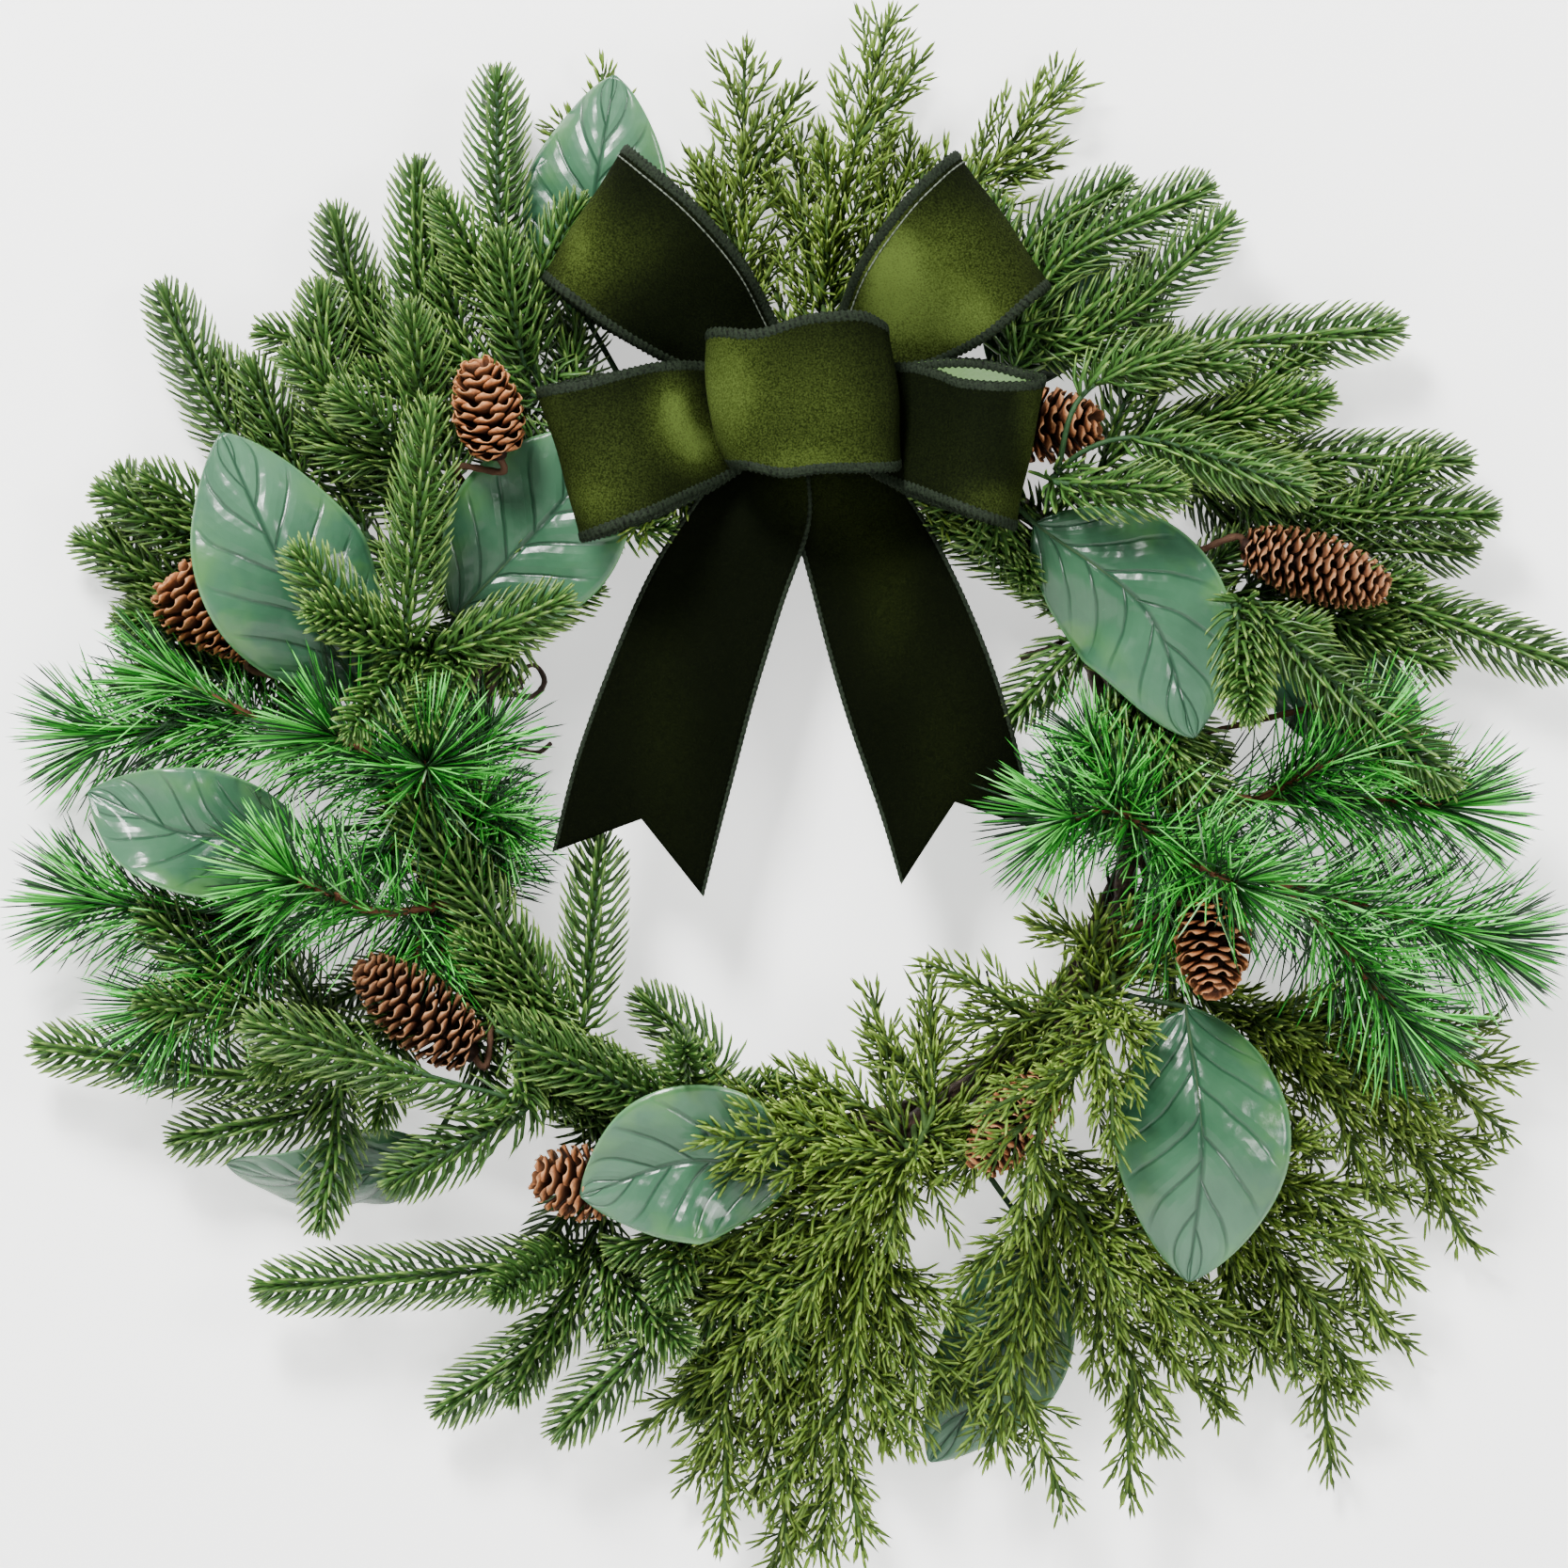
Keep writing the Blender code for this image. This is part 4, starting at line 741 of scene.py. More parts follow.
def add_piece(name, bag, materials, finish, *nodes):
    """Makes the piece, which rides on the root and stands for the nodes."""
    mesh = mesh_of(name, bag)
    for material in materials:
        mesh.materials.append(material)
    piece = bpy.data.objects.new(name, mesh)
    bpy.context.scene.collection.objects.link(piece)
    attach(piece, "root")
    if nodes:
        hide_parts(*nodes)
    return piece


def grid_faces(rows, columns, closed=False):
    """Quads of a grid of points. A closed grid joins its last column to its first."""
    i = np.arange(rows - 1)[:, None] * columns
    j = np.arange(columns if closed else columns - 1)[None]
    m = (j + 1) % columns
    return np.stack((i + j, i + m, i + columns + m, i + columns + j), axis=-1).reshape(-1, 4)


def normals_of(grid, facing=None):
    """The unit normals of a surface given as a grid, all turned so that its middle looks the facing way."""
    normal = unit_rows(np.cross(np.gradient(grid, axis=0), np.gradient(grid, axis=1)))
    middle = normal[grid.shape[0] // 2, grid.shape[1] // 2]
    return -normal if facing is not None and middle @ facing < 0 else normal


def blades(
    roots, ways, bends, lengths, widths, flat=1.0, stations=(0.0, 0.4, 0.78), girths=(0.8, 1.0, 0.75),
    foot=False,
):
    """A batch of curved, tapered three-sided needles. Each is a curve of its own length from its root along
    its way, turned by its bend. With a foot, each begins in a point at its root. Returns the points, the
    faces, the tone of each point and the number of points of one needle."""
    count = len(roots)
    lengths = np.asarray(lengths, float)[:, None]
    widths = np.asarray(widths, float)[:, None]
    away = np.where(np.linalg.norm(bends, axis=1, keepdims=True) > 1e-3, bends, np.array((0.31, 0.87, 0.39)))
    across = unit_rows(np.cross(ways, away))
    up = unit_rows(np.cross(across, ways))
    rings = []
    for share, girth in zip(stations, girths):
        centre = roots + ways * lengths * share + bends * lengths * share**2
        for k in range(3):
            turn = math.pi / 2 + k * 2 * math.pi / 3
            off = across * math.cos(turn) + up * math.sin(turn) * flat
            rings.append(centre + off * widths * (girth / 2))
    rings.append(roots + ways * lengths + bends * lengths)
    tone = [share for share in stations for _ in range(3)] + [1.0]
    last = 3 * (len(stations) - 1)
    caps = [(last + k, last + (k + 1) % 3, len(tone) - 1) for k in range(3)]
    if foot:
        rings.append(roots)
        tone.append(0.0)
        caps += [((k + 1) % 3, k, len(tone) - 1) for k in range(3)]
    quads = [
        (s + k, s + (k + 1) % 3, s + 3 + (k + 1) % 3, s + 3 + k) for s in range(0, last, 3) for k in range(3)
    ]
    points = np.stack(rings, axis=1)
    each = points.shape[1]
    base = (np.arange(count) * each)[:, None, None]
    faces = [(base + np.array(block)[None]).reshape(-1, len(block[0])) for block in (caps, quads) if block]
    return points.reshape(-1, 3), faces, np.tile(tone, count), each


# The share of the needles in front of each cone that are left out, to keep it in sight.
CONE_SHOWN = {
    "cone_bow_left": 1.0,
    "cone_left": 1.0,
    "cone_bow_right": 1.0,
    "cone_right": 0.97,
    "cone_lower_left": 0.97,
    "cone_bottom_left": 0.95,
    "cone_bottom_right": 0.35,
    "cone_lower_right": 0.5,
}


# A cone that more than this share of needles clears is left in sight by side twigs too.
BARE_SHARE = 0.9

# The free way kept before what a needle meets, and the least share of its length that is still grown.
NEEDLE_SPARE = 0.7
LEAST_NEEDLE_SHARE = 0.45


class Solids:
    """The surfaces that needles don't pass through, and the cones that they leave in sight."""

    def __init__(self, names):
        self.cones = []
        for name, share in CONE_SHOWN.items():
            spec = CONES[name]
            self.cones.append((place(*spec[2]), place(*spec[3]), spec[4] + 1.0, share))
        corners = []
        faces = []
        for name in names:
            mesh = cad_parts[name].data
            shift = len(corners)
            corners += [v.co / MM + Vector(HOOK) for v in mesh.vertices]
            faces += [[shift + i for i in face.vertices] for face in mesh.polygons]
        self.tree = BVHTree.FromPolygons(corners, faces)

    def cleared(self, points):
        """The share of needles left out at each point: 0 unless a shown cone is behind it."""
        found = np.zeros(len(points))
        for base, tip, reach, share in self.cones:
            run = (tip - base)[[0, 2]]
            off = points[:, [0, 2]] - base[[0, 2]]
            along = np.clip(off @ run / (run @ run), 0, 1)
            gap = np.linalg.norm(off - along[:, None] * run, axis=1)
            before = points[:, 1] < base[1] + along * (tip - base)[1]
            found = np.maximum(found, share * ((gap < reach) & before))
        return found

    def bars(self, path):
        """Whether a twig along the path would stand in front of a cone that is left wholly in sight."""
        return bool((self.cleared(np.asarray(path)) > BARE_SHARE).any())

    def room(self, roots, ways, lengths, spare=NEEDLE_SPARE):
        """How much of each length is free, less the spare before what it meets."""
        free = np.array(lengths, float)
        for i, (root, way, length) in enumerate(zip(roots, ways, lengths)):
            hit = self.tree.ray_cast(Vector(root), Vector(way), float(length) + spare)[3]
            if hit is not None:
                free[i] = hit - spare
        return free


def add_needles(bag, solids, draw, roots, ways, bends, lengths, widths, shift=0.0, spread=1.0, **shape):
    """Adds the needles that have room, shortened where they meet a solid, and none behind the door's plane.
    The shift, which carries painted shade, and the spread set the range of their chance."""
    if not len(roots):
        return
    aim = unit_rows(ways + bends * 0.6)
    free = solids.room(roots, aim, lengths)
    ends = roots + (ways + bends) * free[:, None]
    over = -ends[:, 1] - MOST_NEEDLE_DEPTH
    rise = np.maximum(roots[:, 1] - ends[:, 1], 1e-3)
    free = free * np.where(over > 0, np.clip(1 - over / rise, 0, 1), 1)
    keep = free > LEAST_NEEDLE_SHARE * lengths
    keep &= (-ends[:, 1] > LEAST_NEEDLE_DEPTH) & (ends[:, 2] > LOWEST_NEEDLE)
    luck = draw.random(len(roots))
    for share in (0.9, 0.5):
        keep &= luck >= solids.cleared(roots + aim * free[:, None] * share)
    if not keep.any():
        return
    points, faces, tone, each = blades(
        roots[keep], ways[keep], bends[keep], free[keep], widths[keep], **shape
    )
    chance = np.repeat(np.clip(draw.random(int(keep.sum())) * spread + shift, 0, 1), each)
    bag.add(points, faces, tone, chance, 1)


class Limb:
    """A fine path with its directions, and what it is read by: the distance along it."""

    def __init__(self, path, spacing=1.5):
        self.path = smooth_path(path, spacing=spacing)
        self.travelled = distances_along(self.path)
        self.length = self.travelled[-1]
        self.tangent, self.side, self.front = frames_along(self.path)

    def at(self, distances):
        """Places and directions at the distances: centre, tangent, side and front."""
        tables = (self.path, self.tangent, self.side, self.front)
        centre, *ways = (read_at(distances, self.travelled, table) for table in tables)
        return centre, *(unit_rows(way) for way in ways)


def shade_of(limb, draw):
    """How dark a whole frond is painted in shade, from 0 to 0.6: less so the further it stands in front."""
    depth = -float(limb.path[:, 1].mean())
    shade = np.interp(depth, (10, 65), (0.42, 0.02)) + draw.uniform(-0.14, 0.16)
    return float(np.clip(shade, 0.0, 0.6))


def ways_out(limb, distances, turns, leans):
    """Roots on the limb, its tangents, and the ways straight out and leaning out at the turns about it."""
    centre, tangent, side, front = limb.at(distances)
    out = side * np.cos(turns)[:, None] + front * np.sin(turns)[:, None]
    return centre, tangent, out, tangent * np.cos(leans)[:, None] + out * np.sin(leans)[:, None]


# Side twigs and branchlets that would end nearer the door's plane are turned to the front.
LEAST_TWIG_DEPTH = 7.0
LEAST_BRANCHLET_DEPTH = 3.0


def way_out(limb, distance, turn, lean):
    """The root, the tangent and the leaning way of one twig."""
    centre, tangent, _, way = ways_out(limb, *(np.array([value]) for value in (distance, turn, lean)))
    return centre[0], tangent[0], way[0]


def twig_path(solids, centre, tangent, way, reach, spare, least, bow):
    """A side twig as a control path that bows towards its limb's tip, or None where it has no room."""
    free = solids.room([centre], [way], [reach], spare)[0]
    if free <= least * reach:
        return None
    return np.array((centre, centre + way * free * 0.5, centre + way * free + tangent * free * bow))


def branched(limb, solids, draw, first, last, gap, long, lean, spread):
    """Side twigs of a limb, to its left and right by turns, each as a control path. A twig that would meet a
    solid, or go behind the ring, is left out or turned to the front."""
    twigs = []
    side = 1 if draw.random() < 0.5 else -1
    distance = first
    while distance < last:
        turn = (0.0 if side > 0 else math.pi) + draw.uniform(-spread, spread)
        reach = long * draw.uniform(0.82, 1.1)
        tilt = math.radians(lean + draw.uniform(-7, 7))
        centre, tangent, way = way_out(limb, distance, turn, tilt)
        end = centre + way * reach
        if -end[1] < LEAST_TWIG_DEPTH:
            way = unit(way + np.array((0.0, -(LEAST_TWIG_DEPTH + end[1]) / reach - 0.05, 0.0)))
        twig = twig_path(solids, centre, tangent, way, reach, 4.0, 0.6, 0.14)
        if twig is not None and not solids.bars(np.linspace(twig[0], twig[2], 7)):
            twigs.append(twig)
        side = -side
        distance += gap * draw.uniform(0.85, 1.15)
    return twigs


# Spruce.

# The distance between whorls, and the number of needles in the tuft at a tip.
SPRUCE_PITCH = 4.0
SPRUCE_TUFT = 10

# Turns about the stem of the needles of two whorls that take turns, in degrees: 0 and 180 are the sides, and
# 90 is the front.
WHORLS = (
    (-12.0, 30.0, 78.0, 124.0, 168.0, 212.0, 285.0),
    (6.0, 50.0, 98.0, 142.0, 188.0, 250.0),
)


def spruce_needles(bag, limb, first, full, solids, draw, long):
    """Curved needles in whorls, fewer before the full distance, and a blunt tuft at the tip."""
    # Painted shade for the whole frond, by its depth.
    shift = shade_of(limb, draw)
    distances = []
    turns = []
    whorl = 0
    distance = first
    while distance < limb.length - 1.5:
        share = 1.0 if distance >= full else 0.6
        for turn in WHORLS[whorl % 2]:
            if draw.random() <= share:
                distances.append(distance + draw.uniform(-0.25, 0.25))
                turns.append(math.radians(turn + draw.uniform(-4, 4)))
        closer = np.interp(limb.length - distance, (0, 20), (0.6, 1.0))
        distance += SPRUCE_PITCH * closer * draw.uniform(0.94, 1.06)
        whorl += 1
    distances = np.array(distances)
    turns = np.array(turns)
    count = len(distances)
    left = np.clip(limb.length - distances, 0, None)
    lean = np.radians(np.interp(left, (0, 5, 14, 34), (30, 52, 67, 77)) + draw.uniform(-2, 2, count))
    roots, tangent, out, ways = ways_out(limb, distances, turns, lean)
    reach = long * np.interp(left, (0, 5, 14, 30), (0.46, 0.60, 0.84, 1.0))
    reach *= np.interp(distances - full, (-30, -1, 14), (0.76, 0.84, 1.0)) * draw.uniform(0.94, 1.04, count)
    bends = (tangent * 0.52 - out * 0.22) * np.interp(left, (0, 25), (0.4, 1.0))[:, None]
    widths = np.interp(left, (0, 14), (1.45, 2.05))
    seen = out[:, 1] < 0.3
    fine = {"stations": (0.0, 0.45, 0.9), "girths": (0.7, 1.0, 0.72)}
    plain = {"stations": (0.0, 0.7), "girths": (0.9, 1.0)}
    # Needles turned to the back get painted shade, a darker share of their colour.
    for part, shape, darker in ((seen, fine, 0.0), (~seen, plain, 0.2)):
        grown = (values[part] for values in (roots, ways, bends, reach, widths))
        add_needles(bag, solids, draw, *grown, shift + darker, 0.4, **shape)
    turns = np.arange(SPRUCE_TUFT) * GOLDEN
    lean = np.radians(np.linspace(4, 44, SPRUCE_TUFT))
    roots, tangent, out, ways = ways_out(limb, np.full(SPRUCE_TUFT, limb.length - 1.0), turns, lean)
    reach = long * draw.uniform(0.36, 0.46, SPRUCE_TUFT)
    widths = np.full(SPRUCE_TUFT, 1.1)
    add_needles(bag, solids, draw, roots, ways, out * -0.08, reach, widths, shift, 0.4, **fine)


def free_part(path, solids, spare=4.0):
    """The path up to the first solid that it would meet, or nothing if too little is left."""
    for i in range(1, len(path)):
        step = path[i] - path[i - 1]
        length = float(np.linalg.norm(step))
        if solids.room([path[i - 1]], [step / length], [length], spare)[0] < length - 0.01:
            return path[:i] if i > 3 else None
    return path


def ring_shoots(spec, solids, draw, reach):
    """Two shoots from a pick's root that run to either side along the front of the ring, one to its inside
    and one to its outside, and cover it."""
    angle, roll, _ = spec[0]
    shoots = []
    ways = (1, -1) if draw.random() < 0.5 else (-1, 1)
    for way, end_roll in zip(ways, (draw.uniform(34, 70), draw.uniform(108, 146))):
        points = []
        long = reach * draw.uniform(0.75, 1.15)
        rise, lift = draw.uniform(8, 13), draw.uniform(2, 15)
        for share in np.linspace(0, 1, 7):
            theta = math.radians(angle) + way * long * share / RING_RADIUS
            turn = math.radians(roll + (end_roll - roll) * min(share * 1.8, 1.0))
            points.append(ring_point(theta, turn, 0.5 + rise * share**0.7 + lift * share**2))
        path = free_part(points, solids)
        if path is not None and not solids.bars(path):
            shoots.append(np.array(path))
    return shoots


def full_from(path, tip):
    """How far along a limb the needled length of its tip begins."""
    start = place(*tip[0])
    return LIMB_SPACING * int(np.argmin(np.linalg.norm(path - start, axis=1))) * 0.8


def dress_spruce(limbs, spec, solids, draw):
    """A spruce pick: its tips, their side twigs where a limb has a long way to its tip, and its shoots."""
    bag = Bag()
    paths = []
    for index, (path, tip) in enumerate(zip(limbs, spec[1:])):
        full = full_from(path, tip)
        limb = Limb(path)
        first, bare = (8.0, 12.0) if index == 0 else (4.0, 9.0)
        paths.append((limb, first, max(full, first), 20.0))
        if full > 22.0:
            for twig in branched(limb, solids, draw, bare, full, 19.0, 54.0, 33.0, 0.75):
                paths.append((Limb(twig), 5.0, 8.0, 18.0))
    for shoot in ring_shoots(spec, solids, draw, 58.0):
        paths.append((Limb(shoot), 5.0, 9.0, 16.5))
    for limb, first, full, long in paths:
        bag.add_stem(limb, (1.3, 0.85), 6)
        spruce_needles(bag, limb, first, full, solids, draw, long)
    return bag


# Cedar.


def cedar_leaves(bag, limb, first, solids, draw, long, pitch, shift):
    """Awl-shaped leaves all round a twig, which close over its tip."""
    count = max(2, int((limb.length - first) / pitch))
    distances = np.linspace(first, limb.length - 0.4, count) + draw.uniform(-0.3, 0.3, count)
    turns = np.arange(count) * GOLDEN + draw.uniform(-0.3, 0.3, count) + draw.uniform(0, 6)
    left = np.clip(limb.length - distances, 0, None)
    lean = np.radians(np.interp(left, (0, 4, 12), (8, 26, 38)) + draw.uniform(-7, 7, count))
    roots, tangent, out, ways = ways_out(limb, distances, turns, lean)
    reach = long * np.interp(left, (0, 5, 14), (0.66, 0.82, 1.0)) * draw.uniform(0.8, 1.15, count)
    bends = tangent * 0.14 - out * 0.08
    seen = out[:, 1] < 0.25
    fine = {"stations": (0.3, 0.82), "girths": (1.0, 0.85)}
    plain = {"stations": (0.45,), "girths": (1.0,)}
    # Leaves turned to the back get painted shade, a darker share of their colour.
    for part, width, darker, shape in ((seen, 1.5, 0.0, fine), (~seen, 1.7, 0.2, plain)):
        grown = [values[part] for values in (roots, ways, bends, reach)]
        widths = np.full(len(grown[0]), width)
        add_needles(bag, solids, draw, *grown, widths, shift + darker, 0.4, foot=True, **shape)


def feathered(bag, limb, first, solids, draw, longest, gap):
    """A cedar stem with its leaves and with leafy branchlets all round, shorter towards its tip."""
    bag.add_stem(limb, (1.5, 0.7), 6, 0.2, 0.4)
    # Painted shade for the whole frond, by its depth.
    shift = shade_of(limb, draw)
    cedar_leaves(bag, limb, first + 4, solids, draw, 11.0, 2.6, shift)
    distance = first
    turn = draw.uniform(0, 6)
    while distance < limb.length - 4.0:
        left = limb.length - distance
        reach = float(np.interp(left, (4, 22, 60, 95), (0.30, 0.68, 1.0, 1.3))) * longest
        reach *= draw.uniform(0.8, 1.15)
        lean = math.radians(38 + draw.uniform(-8, 8))
        centre, tangent, way = way_out(limb, distance, turn, lean)
        if -(centre + way * reach)[1] < LEAST_BRANCHLET_DEPTH:
            way = unit(way - np.array((0, 0.5, 0)))
        path = twig_path(solids, centre, tangent, way, reach, 2.5, 0.5, 0.10)
        if path is not None:
            twig = Limb(path, 2.0)
            bag.add_tube(twig.path[:: max(1, len(twig.path) // 3)], 0.55, 3, 0.3, 0.5, 0)
            cedar_leaves(bag, twig, 1.2, solids, draw, 11.8, 1.95, shift + draw.uniform(-0.15, 0.15))
        turn += GOLDEN
        distance += gap * draw.uniform(0.85, 1.15)


def dress_cedar(limbs, spec, solids, draw):
    """A cedar pick: feathery stems and side twigs, sparser on the picks that stand up at the top."""
    bag = Bag()
    upright = spec[0][0] < 180
    gap, long = (34.0, 40.0) if upright else (20.0, 52.0)
    for index, path in enumerate(limbs):
        limb = Limb(path)
        first = 9.0 if index == 0 else 5.0
        feathered(bag, limb, first, solids, draw, 27.0, 4.2)
        for twig in branched(limb, solids, draw, first + 6, limb.length - 26.0, gap, long, 36.0, 1.0):
            feathered(bag, Limb(twig), 5.0, solids, draw, 17.0, 4.6)
    for shoot in ring_shoots(spec, solids, draw, 64.0):
        feathered(bag, Limb(shoot), 6.0, solids, draw, 19.0, 4.4)
    return bag


# Long-needle pine. Its needles and scales sit at knots this far apart.

PINE_KNOT = 4.6


def dress_pine(limbs, spec, solids, draw):
    """A pine pick: bundles of long straight needles at the knots of its stems, dense at each tip, with short
    scales at every knot."""
    bag = Bag()
    paths = []
    for index, (path, tip) in enumerate(zip(limbs, spec[1:])):
        paths.append((Limb(path), 14.0 if index == 0 else 5.0, full_from(path, tip), 43.0, 100))
    for shoot in ring_shoots(spec, solids, draw, 26.0):
        paths.append((Limb(shoot), 6.0, 14.0, 32.0, 24))
    for limb, first, full, long, tuft in paths:
        bag.add_stem(limb, (1.8, 1.3), 7)
        distances = []
        distance = first
        while distance < limb.length - 0.5:
            distances.append(distance)
            distance += 0.19 if distance >= full - 8 else 0.38
        distances = np.array(distances + [limb.length - 0.5] * tuft)
        count = len(distances)
        knots = np.round(distances / PINE_KNOT) * PINE_KNOT + draw.uniform(-0.8, 0.8, count)
        distances = np.minimum(knots, limb.length - 0.3)
        turns = draw.uniform(0, 2 * math.pi, count)
        left = limb.length - distances
        lean = np.radians(np.interp(left, (0, 5, 30), (34, 46, 54)) + draw.normal(0, 14, count))
        roots, tangent, _, ways = ways_out(limb, distances, turns, np.clip(lean, 0.03, 1.45))
        reach = long * draw.uniform(0.80, 1.04, count)
        bends = tangent * 0.02 + draw.uniform(-0.02, 0.02, (count, 3))
        widths = draw.uniform(0.8, 1.0, count)
        shape = {"stations": (0.0, 0.88), "girths": (1.0, 0.85)}
        add_needles(bag, solids, draw, roots, ways, bends, reach, widths, **shape)
        knots = np.arange(first, limb.length + 2.0, PINE_KNOT)
        for _ in range(3):
            turns = draw.uniform(0, 2 * math.pi, len(knots))
            lean = np.radians(draw.uniform(22, 38, len(knots)))
            roots, _, out, ways = ways_out(limb, np.minimum(knots, limb.length - 0.5), turns, lean)
            scale = np.full(len(knots), 6.0)
            scales = blades(roots, ways, out * -0.1, scale, scale / 3, 0.6, (0.0, 0.5), (1.0, 0.9))
            bag.add(*scales[:3], 0.5, 0)
    return bag


# Leaves.


def dress_leaf(spec, draw):
    """A moulded magnolia leaf: a thin waved plate, hollow along its midrib, on a round stalk that carries on
    as a keel under the blade. Its tone runs from foot to tip, and its chance from one edge to the other."""
    rows, columns, stalk_rows = 52, 23, 8
    centre = columns // 2
    grid = leaf_grid(spec, rows, columns, stalk_rows)
    stalk, grid = grid[: stalk_rows + 1, centre], grid[stalk_rows:]
    width = spec[5]
    share = np.linspace(0, 1, rows)[:, None]
    v = np.linspace(-1, 1, columns)[None]
    normal = normals_of(grid, np.array(TO_VIEWER))
    inside = np.sin(math.pi * np.clip(share, 0, 1)) ** 0.5
    rib = np.exp(-((v * width / 2 / 3.0) ** 2))
    a, b, c = draw.uniform(0, 6, 3)
    wave = 1.5 * np.sin(share * 7.5 + a + v * 0.8) * np.abs(v) ** 1.6
    wave = wave + 0.8 * np.sin(share * 15 + b - v * 2) * v**2
    swell = 0.75 * np.sin(share * 10 + v * 4 + c) * (1 - np.abs(v) ** 3)
    middle = grid + normal * ((wave + swell - 1.1 * rib) * inside)[..., None]
    half = (np.interp(np.abs(v), (0.85, 1.0), (0.5, 0.18)) * np.ones_like(share))[..., None]
    bag = Bag()
    bag.add_plate(middle, normal, half, share, v)
    keel = (middle - normal * half)[:, centre] + normal[:, centre] * 0.3
    path = np.vstack((stalk[:-1], keel[: int(rows * 0.9)]))
    girth = np.interp(np.arange(len(path)), (0, stalk_rows, len(path)), (1.35, 1.15, 0.35))
    bag.add_tube(path, girth, 8, 0.0, 0.6, 1)
    return bag


# Cones.

# How each cone looks: how far its scales stand open from 0 to 1, how wide they are against the widest, and
# how grey the wood is from 0 to 1.
CONE_LOOK = {
    "cone_bow_left": (0.20, 1.0, 0.0),
    "cone_left": (0.70, 0.9, 0.12),
    "cone_bow_right": (0.50, 0.85, 0.45),
    "cone_right": (0.65, 0.72, 0.70),
    "cone_right_back": (0.50, 0.9, 0.35),
    "cone_lower_left": (0.65, 0.85, 0.75),
    "cone_bottom_left": (0.50, 0.9, 0.35),
    "cone_bottom_right": (0.75, 0.85, 0.40),
    "cone_lower_right": (0.50, 0.9, 0.20),
}


# A scale from its foot to its lip: the places of its rows, and its width at each against its widest.
SCALE_ROWS = (0.0, 0.32, 0.62, 0.82, 0.94, 1.0)
SCALE_FAN = (0.26, 0.60, 0.94, 1.0, 0.80, 0.46)


def dress_cone(name, spec, draw):
    """Woody scales set round the core by the golden angle, each a thin shell with a rounded lip that curls
    out, on a twig."""
    base, tip, widest, where = place(*spec[2]), place(*spec[3]), spec[4], spec[5]
    axis = unit(tip - base)
    length = np.linalg.norm(tip - base)
    side = unit(np.cross(axis, (0.3, 1.0, 0.2)))
    front = np.cross(side, axis)
    skew = math.log(0.5) / math.log(where)
    wide_open, broad, grey = CONE_LOOK[name]
    bag = Bag()

    def outline(t):
        return widest * math.sin(math.pi * min(max(0.07 + 0.90 * t, 0.0), 1.0) ** skew) ** 0.5

    heights = np.linspace(0, 1, 14)
    core = [base + axis * (h * length * 0.84) for h in heights]
    # The core takes the darkest tone: painted shade.
    bag.add_tube(core, [max(outline(h) * 0.40, 1.5) for h in heights], 10, 0.0, grey, 0)
    count = int((length * 1.15 + 8) / broad)
    s = np.array(SCALE_ROWS)[:, None]
    v = np.linspace(-1, 1, 7)[None]
    fan = np.interp(s, SCALE_ROWS, SCALE_FAN)
    thick = (np.interp(s, (0, 0.6, 0.9, 1.0), (0.40, 0.27, 0.21, 0.11)) * np.ones_like(v))[..., None]
    # Tone: the scale's foot is in painted shade, its lip and edges are weathered lighter wood.
    wear_and_shade = np.maximum(s, 0.96 * np.abs(v) * s**0.4)
    leans = (96, 62 + 22 * wide_open, 42 + 32 * wide_open, 34 + 30 * wide_open, 14)
    for i in range(count):
        t = (i + 0.5) / count
        turn = i * GOLDEN + draw.uniform(-0.07, 0.07)
        radius = outline(t)
        lean = math.radians(np.interp(t, (0, 0.15, 0.6, 0.9, 1.0), leans) + draw.uniform(-5, 5))
        out = side * math.cos(turn) + front * math.sin(turn)
        wide_way = np.cross(axis, out)
        reach = max(radius * 0.70 / max(math.sin(lean), 0.45), 6.0)
        half = min(0.50 * radius + 1.4, 6.6) * broad * draw.uniform(0.90, 1.08)
        way = axis * math.cos(lean) + out * math.sin(lean)
        lift = axis * math.sin(lean) - out * math.cos(lean)
        lip = base + axis * (t * length * 0.96 + 1.5) + out * radius
        root = lip - way * reach
        curl = -0.05 * reach * np.sin(math.pi * s) - (0.05 + 0.10 * wide_open) * reach * s**4
        cup = 0.34 * half * v**2 * (0.30 + 0.70 * s)
        wavy = 0.16 * np.sin(v * 3.4 + draw.uniform(0, 6)) * s**3
        middle = (
            root
            + way * (reach * s * np.ones_like(v))[..., None]
            + wide_way * (half * v * fan)[..., None]
            + lift * (curl + cup + wavy)[..., None]
        )
        normal = normals_of(middle, lift)
        bag.add_plate(middle, normal, thick, wear_and_shade, 0.75 * grey + 0.25 * draw.random())
    route = smooth_path(twig_route(spec), spacing=2.0)
    number = np.arange(len(route))
    girth = np.interp(number, (0, len(route) - 1), (1.6, 1.1)) * (1 + 0.12 * np.sin(number * 1.9))
    bag.add_tube(route, girth, 7, 0.2, 0.5, 1)
    return bag


# The ring: twisted vines.


